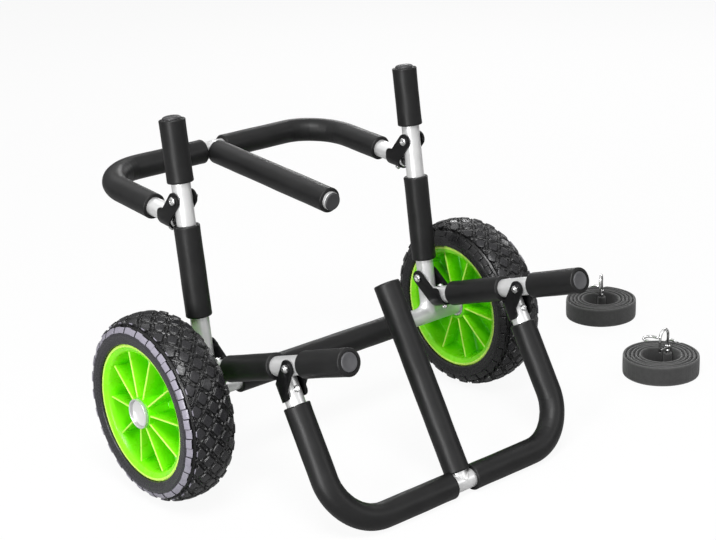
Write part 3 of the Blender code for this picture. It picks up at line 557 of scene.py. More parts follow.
def foam_sleeve(path, matrix, seed, creases=(), inner_side=0.0):
    """A closed-cell sleeve: eased ends that spread a little, an uneven skin and creases inside a bend."""
    ease, sides, lip, crease = 0.0022, 72, 0.00035, 0.0003
    turn = np.linspace(0, math.pi / 2, 6)
    rise, back = ease * (1 - np.cos(turn)), ease * (1 - np.sin(turn))
    body = np.arange(ease, path.length - ease, 0.002)[1:]
    stations = np.concatenate([rise, body, path.length - rise[::-1]])
    radii = FOAM_R - np.concatenate([back, 0 * body, back[::-1]])
    s, a = stations[:, None], around(sides)[None]
    wave = sum(height * np.sin(lobes * a + waves * s + share * seed)
               for height, lobes, waves, share in SKIN_WAVES)
    spread = lip * (np.exp(-s / 0.004) + np.exp(-(path.length - s) / 0.004))
    fold = 0
    for i, station in enumerate(creases):
        width = 0.0016 + 0.0006 * math.sin(3.1 * i + seed)
        fold = fold + np.exp(-(((s - station) / width) ** 2)) * np.clip(np.cos(a - inner_side), 0, 1) ** 1.5
    outer = radii[:, None] + wave + spread - crease * fold
    return hollow(Shape(), path, matrix, stations, outer, TUBE_R + GAP, sides)


def tube_shell(shape, path, matrix):
    """A hollow tube with square ends, their edges just broken."""
    body = np.arange(TUBE_EDGE, path.length - TUBE_EDGE, 0.003)[1:]
    stations = np.concatenate([[0, TUBE_EDGE], body, [path.length - TUBE_EDGE, path.length]])
    radii = np.full(len(stations), TUBE_R)
    radii[[0, -1]] = TUBE_R - TUBE_EDGE
    return hollow(shape, path, matrix, stations, radii, TUBE_R - TUBE_WALL)


def bead(shape, loop, matrix, radius=0.0011, ripple=0.12, ripples=46):
    """A weld bead along a closed loop of points, rippled as it was laid."""
    ahead = units(np.roll(loop, -1, 0) - np.roll(loop, 1, 0))
    outward = loop - loop.mean(0)
    outward = units(outward - (outward * ahead).sum(1)[:, None] * ahead)
    other = np.cross(ahead, outward)
    c, s = circle(12)
    spokes = c[:, None] * outward[:, None] + s[:, None] * other[:, None]
    places = np.arange(len(loop)) / len(loop)
    radii = radius * (1 + ripple * np.abs(np.sin(places * math.pi * ripples)))
    shape.skin(loop[:, None] + radii[:, None, None] * spokes, matrix, wrap=True)


def flared_foot(shape, matrix, leg=0.014, proud=1.004, within=0.95):
    """The smooth fillet from an upright down onto the axle, long along the axle."""
    c, s = circle(96)
    high = TUBE_R * np.abs(c)
    reach = leg * np.abs(c) ** 0.9
    post = np.stack([TUBE_R * c * proud, TUBE_R * s * proud, high + reach], -1)
    corner = np.stack([TUBE_R * c * proud, TUBE_R * s * proud, high * proud], -1)
    foot = np.stack([np.sign(c) * (high + reach), TUBE_R * s * proud, high * proud], -1)
    within_post, within_axle = post * (within, within, 1), foot * (1, within, within)
    shape.skin([within_post, *curve(post, corner, foot, 13), within_axle], matrix, capped=True)


# Fasteners and caps

def hexagon(radius, segments, turn):
    """The radius of a hexagon at each angle."""
    angles = around(segments) + turn
    return radius * math.cos(math.pi / 6) / np.cos((angles + math.pi / 6) % (math.pi / 3) - math.pi / 6)


def bolt_shape(matrix, grip, shank, head, nut, turn=0.0, segments=96):
    """A pan-headed bolt with a hexagon socket, and a lock nut with its nylon collar."""
    head_r, head_h = head
    nut_r, nut_h = nut
    socket = hexagon(head_r * 0.50, segments, turn)
    corners = hexagon(nut_r, segments, turn)
    tip = grip + nut_h + 0.0015
    inside = [
        (head_r * 0.04, 0.42), (socket * 0.94, 0.40), (socket, 0.50), (socket, 0.93), (socket * 1.06, 1),
    ]
    pan = [(0.62, 1), (0.76, 0.95), (0.88, 0.82), (0.96, 0.62), (1, 0.38), (1, 0.08), (0.97, 0)]
    flats = [
        (nut_r * 0.84, 0), (np.minimum(corners, nut_r * 0.93), 0.05), (corners, 0.14), (corners, 0.60),
        (np.minimum(corners, nut_r * 0.92), 0.69),
    ]
    collar = [(0.80, 0.72), (0.78, 0.90), (0.70, 1)]
    profile = [(r, -head_h * z) for r, z in inside] + [(head_r * r, -head_h * z) for r, z in pan]
    profile += [(shank, 0), (shank, grip)]
    profile += [(r, grip + nut_h * z) for r, z in flats] + [(nut_r * r, grip + nut_h * z) for r, z in collar]
    profile.append((shank * 1.02, grip + nut_h))
    thread = np.arange(grip + nut_h, tip - 0.0003, 0.00025)
    profile += [(shank * (1.0 if i % 2 else 0.93), z) for i, z in enumerate(thread)]
    profile += [(shank * 0.80, tip), (shank * 0.05, tip)]
    return Shape().skin(turned(profile, segments), matrix, capped=True)


def plug_end(chamfer=0.001):
    return [(PLUG_R, chamfer - PLUG_LENGTH), (PLUG_R - chamfer, -PLUG_LENGTH), (ON_AXIS, -PLUG_LENGTH)]


def flat_cap_shape(matrix):
    """A flat cap, faintly dished, with its plug inside the tube."""
    face = GAP + FLAT_CAP_T
    rim = [(TUBE_R * 0.80, face), (TUBE_R * 0.90, face), (TUBE_R, GAP + 0.0009), (TUBE_R, GAP), (PLUG_R, GAP)]
    profile = [(ON_AXIS, face - 0.0003), (TUBE_R * 0.70, face - 0.00025), (TUBE_R * 0.76, face)]
    return Shape().skin(turned([*profile, *eased(rim, 0.0011, 5), *plug_end()], 72), matrix, capped=True)


def domed_cap_shape(matrix):
    """A domed cap with its plug inside the tube."""
    dome = [(max(TUBE_R * math.cos(a), ON_AXIS), GAP + DOME_STEP + DOME_RISE * math.sin(a) ** 0.8)
            for a in np.linspace(math.pi / 2, 0.0, 16)]
    profile = [*dome, (TUBE_R, GAP), (PLUG_R, GAP), *plug_end()]
    return Shape().skin(turned(profile, 72), matrix, capped=True)


# The stamped bracket

def temporary(name, points, faces):
    mesh = bpy.data.meshes.new(name)
    mesh.from_pydata([tuple(point) for point in points], [], faces)
    return placed(name, mesh)


def prism(name, points, count):
    """A closed tool between two outlines of so many points, given one after the other."""
    walls = [(i, (i + 1) % count, (i + 1) % count + count, i + count) for i in range(count)]
    obj = temporary(name, points, [tuple(range(count))[::-1], tuple(range(count, 2 * count)), *walls])
    face_outward(obj.data)
    return obj


def pin(name, radius, matrix, start, end, sides=40):
    rings = turned([(radius, start), (radius, end)], sides)
    return prism(name, moved(matrix, rings.reshape(-1, 3)), sides)


def bracket_mesh():
    """A channel bent round the folding tube, trimmed to its side outline, drilled, its edges eased."""
    middle = EAR_OUTER - SHEET / 2
    below, beyond = -EAR_R - SHEET, BRACKET_END + SHEET
    line = [(-middle, below), *arc((0, HINGE_OFFSET), middle, math.pi, 0, 32), (middle, below)]
    count = len(line)
    flat = [(x, y, below) for x, y in line] + [(x, y, beyond) for x, y in line]
    channel = temporary("channel", flat, [(i, i + 1, i + 1 + count, i + count) for i in range(count - 1)])
    sheet = channel.modifiers.new("sheet", "SOLIDIFY")
    sheet.thickness, sheet.offset, sheet.use_even_offset = SHEET, 0, True

    along = np.array([math.cos(EAR_SLANT), math.sin(EAR_SLANT)])
    square = np.array([math.sin(EAR_SLANT), -math.cos(EAR_SLANT)])
    front = HINGE_OFFSET - TUBE_R
    rear = HINGE_OFFSET + EAR_OUTER + SHEET
    neck = EAR_R * square + (front - EAR_R * square[1]) / along[1] * along
    shoulder = (SADDLE_STATION + EAR_R * square[0]) / along[0] * along - EAR_R * square
    lobe = arc((0, 0), EAR_R, EAR_SLANT - math.pi / 2, EAR_SLANT - 3 * math.pi / 2, 28)
    centre = (BRACKET_END - BRACKET_CORNER, front + BRACKET_CORNER)
    corner = arc(centre, BRACKET_CORNER, 0, -math.pi / 2, 10)
    bend = eased([lobe[-1], shoulder, (SADDLE_STATION, rear)], 0.003, 4)[1:-1]
    inside = eased([corner[-1], neck, lobe[0]], 0.002, 4)[1:-1]
    outline = [*lobe, *bend, (SADDLE_STATION, rear), (BRACKET_END, rear), *corner, *inside]
    half = 1.5 * EAR_OUTER
    points = [(-half, y, z) for z, y in outline] + [(half, y, z) for z, y in outline]

    tools = [
        ("INTERSECT", prism("trim", points, len(outline))),
        ("DIFFERENCE", pin("pivot_pin", PIVOT_HOLE, ALONG_X, -2 * EAR_OUTER, 2 * EAR_OUTER)),
        ("DIFFERENCE", pin("fixing_pin", SCREW_HOLE, shift(0, 0, SCREW_STATION) @ ALONG_Y, 0, 0.07)),
    ]
    for operation, tool in tools:
        cut = channel.modifiers.new(tool.name, "BOOLEAN")
        cut.operation, cut.solver, cut.object = operation, "EXACT", tool
    ease = channel.modifiers.new("eased", "BEVEL")
    ease.width, ease.segments, ease.limit_method, ease.angle_limit = 0.00045, 3, "ANGLE", math.radians(35)
    graph = bpy.context.evaluated_depsgraph_get()
    mesh = bpy.data.meshes.new_from_object(channel.evaluated_get(graph))
    mesh.materials.clear()
    for obj in (channel, *(tool for _, tool in tools)):
        bpy.data.objects.remove(obj)
    return mesh


BRACKET_MESH = bracket_mesh()


def bracket(joint, side, fold, body):
    """The bracket of a folding tube, and the screw that fixes it."""
    x = across(fold, side)
    own = BRACKET_MESH.copy()
    own.transform(fold @ shift(x, 0, 0))
    dress(f"{joint}_bracket_{side}", own, "powder_coat", body, sharp=40)
    matrix = fold @ shift(x, HINGE_OFFSET - TUBE_R - GAP, SCREW_STATION) @ ALONG_Y
    screw = bolt_shape(matrix, TUBE_R + EAR_OUTER + 2 * GAP, **FIXING_SCREW)
    part(f"{joint}_bracket_screw_{side}", screw, "zinc", body)


def pivot_bolt(name, fold, centre, body):
    half = EAR_OUTER + GAP
    matrix = fold @ shift(*centre) @ ALONG_X @ shift(0, 0, -half)
    part(name, bolt_shape(matrix, 2 * half, **PIVOT_BOLT, turn=0.3), "zinc", body)


# Frame

def at_side(side, height=0.0):
    return UPRIGHT @ shift(SIDES[side] * HALF_SPAN, 0, height)


def build_frame():
    half_axle = WHEEL_MIDDLE + HUB_OUT
    along_axle = UPRIGHT @ ALONG_X
    tube = tube_shell(Shape(), straight(-half_axle, half_axle), along_axle)
    for side in SIDES:
        tube_shell(tube, straight(TUBE_R * 0.3, UPRIGHT_LENGTH), at_side(side))
        flared_foot(tube, at_side(side))
    part("frame_tube", tube, "tube", "frame")
    middle = straight(-AXLE_FOAM_HALF, AXLE_FOAM_HALF)
    part("axle_foam", foam_sleeve(middle, along_axle, 0.4), "foam", "frame")
    for seed, side in enumerate(SIDES):
        lower = straight(LOWER_STATION[side], LOWER_STATION[side] + LOWER_FOAM)
        part(f"upright_foam_{side}", foam_sleeve(lower, at_side(side), 1.0 + seed), "foam", "frame")
        grip = straight(UPRIGHT_LENGTH - UPRIGHT_GRIP, UPRIGHT_LENGTH)
        part(f"upright_grip_{side}", foam_sleeve(grip, at_side(side), 3.0 + seed), "foam", "frame")
        cap = domed_cap_shape(at_side(side, UPRIGHT_LENGTH))
        part(f"upright_cap_{side}", cap, "cap", "frame", DARK_CAP)
        for joint, station in (("arm", ARM_PIVOT), ("rack", RACK_PIVOT)):
            centre = (SIDES[side] * HALF_SPAN, 0, station)
            pivot_bolt(f"{joint}_pivot_bolt_{side}", UPRIGHT, centre, "frame")


# Arms

def build_arms():
    for seed, side in enumerate(SIDES):
        x = across(ARM, side)
        axis = beside(ARM, x)
        part(f"arm_tube_{side}", tube_shell(Shape(), straight(BUTT, ARM_LENGTH), axis), "tube", "arms")
        rear = straight(BRACKET_END + BEHIND_ARM_FOAM, STAND_PIVOT - BEFORE_STAND_PIVOT)
        part(f"arm_foam_{side}", foam_sleeve(rear, axis, 5.0 + seed), "foam", "arms")
        grip = straight(STAND_PIVOT + EAR_R + BEHIND_ARM_GRIP, ARM_LENGTH + FOAM_PAST)
        part(f"arm_grip_{side}", foam_sleeve(grip, axis, 7.0 + seed), "foam", "arms")
        part(f"arm_cap_{side}", flat_cap_shape(axis @ shift(0, 0, ARM_LENGTH)), "cap", "arms")
        bracket("arm", side, ARM, "arms")
        pivot_bolt(f"stand_pivot_bolt_{side}", ARM, (x, HINGE_OFFSET, STAND_PIVOT), "arms")


# Stand and rack

def half_u(x, leg_start, to=BAR_FOAM_GAP):
    """The middle line of one leg and its bend, as far as a place on the bar."""
    toward = math.copysign(1, x)
    centre = (x - toward * BEND_R, BAR_STATION - BEND_R)
    bend = arc(centre, BEND_R, 0 if x > 0 else math.pi, math.pi / 2, 44)
    flat = [(x, leg_start), *bend, (toward * to, BAR_STATION)]
    return dense([(along_bar, 0, along_leg) for along_bar, along_leg in flat])


def saddle(radius, sink, sides=64):
    """A ring about the prong that is laid on the bar."""
    c, s = circle(sides)
    return np.stack([radius * c, radius * s, BAR_STATION - sink * np.abs(c)], -1)


def build_u(body, fold, foam_start, prong_bare):
    """A bent tube with its prong, their foam, its brackets and its fixing screws."""
    axis = beside(fold)
    whole = [*half_u(-HALF_SPAN, BUTT, 0), *half_u(HALF_SPAN, BUTT, 0)[-2::-1]]
    tube = tube_shell(Shape(), Path(whole, (0, 1, 0)), axis)
    bore, end = TUBE_R - TUBE_WALL, -PRONG_BEYOND
    outside = [(TUBE_R - TUBE_EDGE, end), (TUBE_R, end + TUBE_EDGE), (TUBE_R, 0)]
    shell = turned([(bore, end + 0.02), (bore, end), *outside])
    tube.skin([*shell, saddle(TUBE_R, 0.9 * TUBE_R)], axis, capped=True)
    bead(tube, saddle(1.02 * TUBE_R, TUBE_R), axis)
    part(f"{body}_tube", tube, "tube", body)
    for seed, side in enumerate(SIDES):
        x = across(fold, side)
        path = Path(half_u(x, foam_start), (0, 1, 0))
        creases = BAR_STATION - BEND_R - foam_start + BEND_R * math.pi / 2 * CREASES
        sleeve = foam_sleeve(path, axis, 9.0 + seed, creases, 0.0 if x < 0 else math.pi)
        part(f"{body}_foam_{side}", sleeve, "foam", body)
        bracket(body, side, fold, body)
    prong = straight(end + prong_bare, BAR_STATION - TUBE_R - FOAM_TO_BAR)
    part(f"{body}_prong_foam", foam_sleeve(prong, axis, 12.0), "foam", body)
    top = axis @ shift(0, 0, end) @ rotation(math.pi, "X")
    part(f"{body}_prong_cap", flat_cap_shape(top), "cap", body, DARK_CAP)


# Rims: Z points outward along the axle from the wheel's middle plane

RIM_COLUMNS = 192
# Tint across a rib's section from root to crest: painted shade at the roots, a painted highlight on the crest
RIB_PAINTED_LIGHT = np.array([0.14, 0.14, 0.18, 0.26, 0.72, 0.98, 1.0, 1.0])


def rib_ring(part_way, hub_top, face):
    """A rib's section at a part of its way from the hub to the rim's mouth."""
    half, root, crest, sunk = RIB_T / 2, 0.0026, 0.0009, 0.002
    r = HUB_R - sunk + (MOUTH_R + 0.0016 - HUB_R + sunk) * part_way
    top = hub_top + (RIB_END - hub_top) * part_way
    right = [
        (half + root, 0), (half + root, WEB_HALF - 0.0002), (half + root * 0.35, WEB_HALF + root * 0.30),
        (half, WEB_HALF + root), (half * 0.94, top - 1.9 * crest), (half * 0.92, top - crest),
        (half * 0.62, top - crest * 0.25), (half * 0.2, top),
    ]
    return [(r, y, face * z) for y, z in right] + [(r, -y, face * z) for y, z in reversed(right)]


def rim_shape(matrix):
    """The moulded rim: rounded lips, a conical barrel, the web with its hub, and ribs with filleted roots."""
    bore, foot, rib_drop = SLIP_BORE + BUSH_WALL + GAP, HUB_R + 0.0008, 0.0012
    # How far within the lip's edge, and how far back from its face
    rolled = [
        (0.0075, 0.0016), (0.0048, 0.0006), (0.0038, -0.0004), (0.0012, -0.0004), (0, 0.0010), (0, FLANGE),
    ]
    lip = [
        (ROOT_R, WEB_HALF), (ROOT_R + 0.0016, 0.014), (MOUTH_R, 0.0240),
        (MOUTH_R + 0.0018, RIM_HALF - MOUTH_DEPTH),
        *((LIP_R - within, RIM_HALF - back) for within, back in rolled), (BEAD_SEAT, RIM_HALF - FLANGE),
    ]
    outer = [(bore, HUB_OUT), (HUB_R, HUB_OUT), (foot, WEB_HALF), *lip]
    inner = [(r, -z) for r, z in reversed(lip)]
    inner += [(foot, -WEB_HALF), (HUB_R, -HUB_IN), (bore, -HUB_IN)]
    profile = eased([*outer, *inner], 0.0016, 5, closed=True)
    radii = np.array([r for r, z in profile])
    depth = np.abs([z for r, z in profile])
    # Painted light in the rim's tint: painted shade darkens the barrel towards the web, and a painted
    # highlight lightens the lip's crest
    barrel = np.interp(depth, [0.002, 0.010, 0.024, 0.031], [0.50, 0.52, 0.56, 0.68])
    crest = np.interp(radii, [LIP_R - 0.0050, LIP_R - 0.0040], [0.0, 1.0])
    tint = np.where(radii < 0.03, 0.5, np.maximum(barrel, crest))
    # Painted shade in the web's pockets, darkest beside each rib
    painted_rib_shade = (0.5 + 0.5 * np.cos(RIB_COUNT * (around(RIM_COLUMNS) - RIB_PHASE))) ** 2
    in_pocket = ((radii > HUB_R + 0.002) & (depth < 0.020)).astype(float)
    tint = tint[:, None] - 0.34 * in_pocket[:, None] * painted_rib_shade[None]
    shape = Shape().skin(turned(profile, RIM_COLUMNS), matrix, wrap=True, tint=tint)
    rib_painted_light = np.concatenate([RIB_PAINTED_LIGHT, RIB_PAINTED_LIGHT[::-1]])[None, :]
    for face, hub in ((1, HUB_OUT), (-1, HUB_IN)):
        rings = [rib_ring(part_way, hub - rib_drop, face) for part_way in np.linspace(0, 1, 12)]
        for i in range(RIB_COUNT):
            turn = rotation(RIB_PHASE + 2 * math.pi * i / RIB_COUNT, "Z")
            shape.skin(rings, matrix @ turn, capped=True, tint=rib_painted_light)
    return shape


# Tyres: places on the section are lengths from the crown

PITCHES, PITCH_COLUMNS, TYRE_ROWS = 27, 44, 208
DIAMOND = 0.0124
# The first of these is where painted glints begin on the pads' outer edge
GLINT_EDGE, TREAD_END, BLOCKS, SIDEWALL = 0.0290, 0.0308, 0.0364, 0.0452
GROOVE_START, GROOVE_END = 0.0300, 0.0362


def tyre_section():
    """Radius and height along half of the section, by length from the crown."""
    a = np.linspace(math.pi / 2, 0, 1500)
    radius = TYRE_WIDEST + (TYRE_R - TYRE_WIDEST) * np.sin(a) ** (2 / TYRE_FULLNESS)
    height = TYRE_HALF * np.cos(a).clip(0) ** (2 / TYRE_FULLNESS)
    b = np.linspace(0, math.pi / 2, 300)[1:]
    radius = np.append(radius, TYRE_WIDEST - (TYRE_WIDEST - LIP_R - GAP) * np.sin(b))
    height = np.append(height, RIM_HALF + 0.0011 + (TYRE_HALF - RIM_HALF - 0.0011) * np.cos(b))
    run = np.concatenate([[0], np.cumsum(np.hypot(np.diff(radius), np.diff(height)))])
    return run, radius, height


def step(value, edge, soft):
    """0 below the edge and 1 above it, over a soft wall."""
    t = np.clip((value - edge) / soft + 0.5, 0, 1)
    return t * t * (3 - 2 * t)


def tread(along, run):
    """A point's level, 1 at the tread's top and 0 in its grooves, and its tint, from its count of pitches
    round the tyre and its length from the crown."""
    side = np.abs(run)
    lean = run / DIAMOND / 2
    cells = [np.abs(a - np.floor(a) - 0.5) for a in (along + lean, along - lean)]
    pad = 1 - step((cells[0] ** 5 + cells[1] ** 5) ** 0.2, 0.345, 0.055)
    lines = [0.5 - cell for cell in cells]
    ridge = np.maximum(*[(1 - step(one, 0.070, 0.045)) * (1 - step(other, 0.355, 0.04))
                         for one, other in (lines, lines[::-1])])
    in_tread = 1 - step(side, TREAD_END, 0.0012)
    crown = np.maximum(pad, (0.82 - 0.42 * step(side, 0.0195, 0.004)) * ridge) * in_tread
    # Painted sheen: the tread's pads and ridges lighter than its grooves, which are darker as painted shade;
    # painted glints along the pads' outer edge
    crown_painted_light = 0.05 + 0.37 * pad + 0.22 * ridge * (1 - pad)
    painted_glint = pad * step(side, GLINT_EDGE, 0.0008)

    half = along * 2
    off_centre = np.abs(half - np.round(half))
    odd = np.round(half) % 2
    block = step(side, BLOCKS - 0.0012 * odd, 0.0010) * (1 - step(off_centre, 0.465, 0.03))
    block = block * (1 - step(side, SIDEWALL + 0.0003, 0.0014))
    height = np.maximum(np.maximum(crown, block * (0.9 - 0.32 * odd)), step(side, SIDEWALL, 0.0016) * 0.62)
    groove = step(side, GROOVE_START, 0.002) * (1 - step(side, GROOVE_END, 0.002))
    height = height - 0.45 * groove * (1 - np.maximum(crown, block))

    # Painted light on the outer side only: the glints, a violet-grey painted sheen on the shoulder blocks and
    # a lighter sidewall, the inner side left darker
    outside = step(run, 0.0, 0.01)
    tint = np.where(side < 0.033, (crown_painted_light + 0.6 * painted_glint * outside) * in_tread, 0)
    tint = np.maximum(tint, block * (0.34 + 0.66 * outside))
    painted_sidewall_sheen = 0.66 - 0.1 * step(side, 0.0545, 0.003)
    tint = np.where(side > SIDEWALL, 0.36 + (painted_sidewall_sheen - 0.36) * outside, tint)
    return height, tint


def tyre_shape(matrix):
    """The tyre's outside with its tread sunk into it, and a plain seat on the rim."""
    columns = PITCHES * PITCH_COLUMNS
    run, radius, height = tyre_section()
    reach = run[-1]
    lines = np.linspace(-reach, reach, TYRE_ROWS)
    side = np.abs(lines)
    r, h = np.interp(side, run, radius), np.interp(side, run, height) * np.sign(lines)
    slope_r, slope_h = np.gradient(r, lines), np.gradient(h, lines)
    size = np.hypot(slope_r, slope_h)
    out_r, out_h = slope_h / size, -slope_r / size
    along = np.arange(columns) / PITCH_COLUMNS
    level, tint = tread(along[None, :], lines[:, None])
    depth = TREAD + 0.0012 * step(side, 0.022, 0.01)
    off_seat = step(reach - side, 0.004, 0.006)
    ring_line = 0.0005 * np.exp(-(((side - 0.049) / 0.0012) ** 2))
    sink = (level - 1) * depth[:, None] * off_seat[:, None] + ring_line[:, None]
    angles = along * 2 * math.pi / PITCHES
    ring_r, ring_h = r[:, None] + sink * out_r[:, None], h[:, None] + sink * out_h[:, None]
    rings = np.stack([ring_r * np.cos(angles), ring_r * np.sin(angles), ring_h + 0 * angles], -1)
    seat, inside = BEAD_SEAT + GAP, RIM_HALF - FLANGE - GAP
    rest = turned([(LIP_R + GAP, inside), (seat, inside), (seat, -inside), (LIP_R + GAP, -inside)], columns)
    tints = np.concatenate([tint, np.zeros((len(rest), columns))])
    return Shape().skin(np.concatenate([rings, rest]), matrix, wrap=True, tint=tints)


# Wheels

def bush_shape(matrix):
    start, outer = -HUB_IN + RING_T + 2 * GAP, SLIP_BORE + BUSH_WALL
    wall = [(SLIP_BORE, start), (outer, start), (outer, HUB_OUT), (SLIP_BORE, HUB_OUT)]
    return Shape().skin(turned(eased(wall, 0.0004, 3, closed=True), 96), matrix, wrap=True)


def axle_ring_shape(matrix):
    """The push-on ring between the upright and the wheel."""
    base, outer, edge = -HUB_IN + GAP, SLIP_BORE + 0.0027, 0.0004
    ring = [
        (SLIP_BORE, base), (outer - edge, base), (outer, base + edge), (outer, base + RING_T - edge),
        (outer - edge, base + RING_T), (SLIP_BORE, base + RING_T),
    ]
    return Shape().skin(turned(ring, 96), matrix, wrap=True)


def axle_cap_shape(matrix):
    """A pressed cup over the axle's end, with its plug inside the tube."""
    base = HUB_OUT + GAP
    floor, top = base + 0.0006, base + 0.0049
    cup = [
        (0.0105, floor - 0.0002), (0.0176, floor), (0.0182, top), (AXLE_CAP_R, top), (AXLE_CAP_R, base),
        (0.0108, base),
    ]
    profile = [(ON_AXIS, floor - 0.0004), (0.0060, floor - 0.0004), *eased(cup, 0.0008, 5), (PLUG_R, base)]
    profile += [(PLUG_R, base - PLUG_LENGTH), (ON_AXIS, base - PLUG_LENGTH)]
    # The cup's inner wall is tinted dark as painted shade
    tint = np.array([1.0 if r < 0.0170 else 0.15 if r < 0.0181 else 0.55 for r, z in profile])
    return Shape().skin(turned(profile, 96), matrix, capped=True, tint=tint[:, None])


def build_wheels():
    for side, sign in SIDES.items():
        matrix = AXLE @ shift(sign * WHEEL_MIDDLE, 0, 0) @ rotation(sign * math.pi / 2, "Y")
        body = f"wheel_{side}"
        part(f"rim_{side}", rim_shape(matrix), "rim", body)
        part(f"tyre_{side}", tyre_shape(matrix), "tyre", body, sharp=60)
        part(f"hub_bush_{side}", bush_shape(matrix), "bush", body)
        part(f"axle_ring_{side}", axle_ring_shape(matrix), "zinc", "frame")
        part(f"axle_cap_{side}", axle_cap_shape(matrix), "zinc", "frame", BRIGHT)


# Straps

STRAP_PLACES = {"strap_1": (0.62, 0.06, 35), "strap_2": (0.50, -0.17, 10)}
WEB_W, WEB_T = 0.030, 0.004
COIL_R, COIL_PITCH, COIL_TURNS, COIL_STEPS = 0.059, 0.0062, 5, 84
WIRE_R, GATE_R, WIRE_STEP = 0.0022, 0.0009, 0.0012
EYE_W = 0.0198
EYE_CLEAR = 0.0008
EYE_SWEEP = math.radians(262)
EYE_LEAD = 0.010
HOOK_SHANK, HOOK_R, HOOK_TIP = 0.034, 0.0105, 0.008
INNER_RISE, INNER_R, INNER_DROP = 0.024, 0.012, 0.022


def eye_line(root, heading):
    """The webbing's line round a wire, from where it leaves the coil, and the wire's centre."""
    radius = WIRE_R + EYE_CLEAR + WEB_T / 2
    centre = root + np.array([heading[1], -heading[0]]) * radius
    begin = math.atan2(heading[0], -heading[1])
    return [np.array(point) for point in arc(centre, radius, begin, begin - EYE_SWEEP, 26)[1:]], centre


def webbing_line():
    """The webbing's middle line, with both wires and the outer end's heading."""
    turns = np.arange(COIL_TURNS * COIL_STEPS + 1) / COIL_STEPS
    radii = COIL_R - COIL_PITCH * (COIL_TURNS - turns)
    coil = np.stack([radii * np.cos(2 * math.pi * turns), radii * np.sin(2 * math.pi * turns)], -1)
    heading = unit(coil[-1] - coil[-2])
    inner_eye, inner_wire = eye_line(coil[0], unit(coil[0] - coil[1]))
    root = coil[-1] + heading * EYE_LEAD
    outer_eye, outer_wire = eye_line(root, heading)
    lead = dense([coil[-1], root], 0.0015)[1:]
    return np.array([*inner_eye[::-1], *coil, *lead, *outer_eye]), inner_wire, outer_wire, heading


def on_floor(line):
    return Path(np.column_stack([line, np.zeros(len(line))]), (0, 0, 1))


def rounded(value, power):
    return np.sign(value) * np.abs(value) ** power


def band_shape(line, matrix):
    """The webbing on edge: rounded selvedges, drawn in where it is sewn into its eyes."""
    path = on_floor(line)
    stations = np.arange(0, path.length, 0.0012)
    ends = np.minimum(stations, path.length - stations)
    half_w = EYE_W / 2 + (WEB_W - EYE_W) / 2 * step(ends, 0.030, 0.016)
    c, s = circle(28)
    over, up = rounded(c, 0.42), rounded(s, 0.62)
    level = WEB_W / 2 + 0.0005 * np.sin(stations * 31) * step(ends, 0.05, 0.04)
    thin = WEB_T / 2 * (0.97 - 0.06 * np.abs(np.sin(stations * math.pi / 0.0044)))
    centres, sides = path.at(stations)
    rings = centres[:, None] + (thin[:, None] * over)[..., None] * sides[:, None]
    rings[..., 2] += np.clip(level[:, None] + half_w[:, None] * up, 0.0002, WEB_W + 0.0004)
    cloth = np.stack([stations[:, None] + 0 * up, half_w[:, None] * up], -1)
    tint = step(np.abs(up), 0.86, 0.12)[None, :]
    return Shape().skin(rings, matrix, capped=True, tint=tint, cloth=cloth)


def stitches(shape, line, matrix, tacks=3, points=31, sides=8):
    """Bar tacks: short thick threads across the webbing where an eye is closed."""
    path = on_floor(line)
    c, s = circle(sides)
    levels = np.linspace(WEB_W / 2 - 0.0075, WEB_W / 2 + 0.0075, points)
    swell = 0.00042 + 0.00018 * np.abs(np.sin(np.linspace(0, 10 * math.pi, points)))
    for i in range(tacks):
        centre, side = path.at(path.length * (i + 0.5) / tacks)
        spokes = c[:, None] * side + s[:, None] * np.cross(side, (0, 0, 1))
        for sign in (1, -1):
            foot = centre + sign * side * (WEB_T / 2 + 0.0001)
            rings = [foot + (0, 0, z) + radius * spokes for z, radius in zip(levels, swell)]
            shape.skin(rings, matrix, capped=True, tint=1.0, cloth=np.zeros((points, sides, 2)))


def wire_shape(shape, points, matrix, normal, radius=WIRE_R, closed=False, sides=20):
    """A round wire along a line, closed on itself or with rounded ends."""
    path = Path(dense(points, WIRE_STEP), normal)
    stations = np.linspace(0, path.length, max(24, int(path.length / WIRE_STEP)))
    if closed:
        rings = path.rings(stations[:-1], np.full(len(stations) - 1, radius), sides)
        return shape.skin(rings, matrix, wrap=True)
    near = radius * (1 - np.cos(np.linspace(0, math.pi / 2, 7)))
    between = stations[np.minimum(stations, path.length - stations) > radius]
    stations = np.concatenate([near, between, path.length - near[::-1]])
    swell = radius * np.sin(np.linspace(0.12, math.pi / 2, 7))
    radii = np.concatenate([swell, np.full(len(between), radius), swell[::-1]])
    return shape.skin(path.rings(stations, radii, sides), matrix, capped=True)


def facing(centre, level, heading):
    return shift(centre[0], centre[1], level) @ rotation(math.atan2(heading[1], heading[0]), "Z")


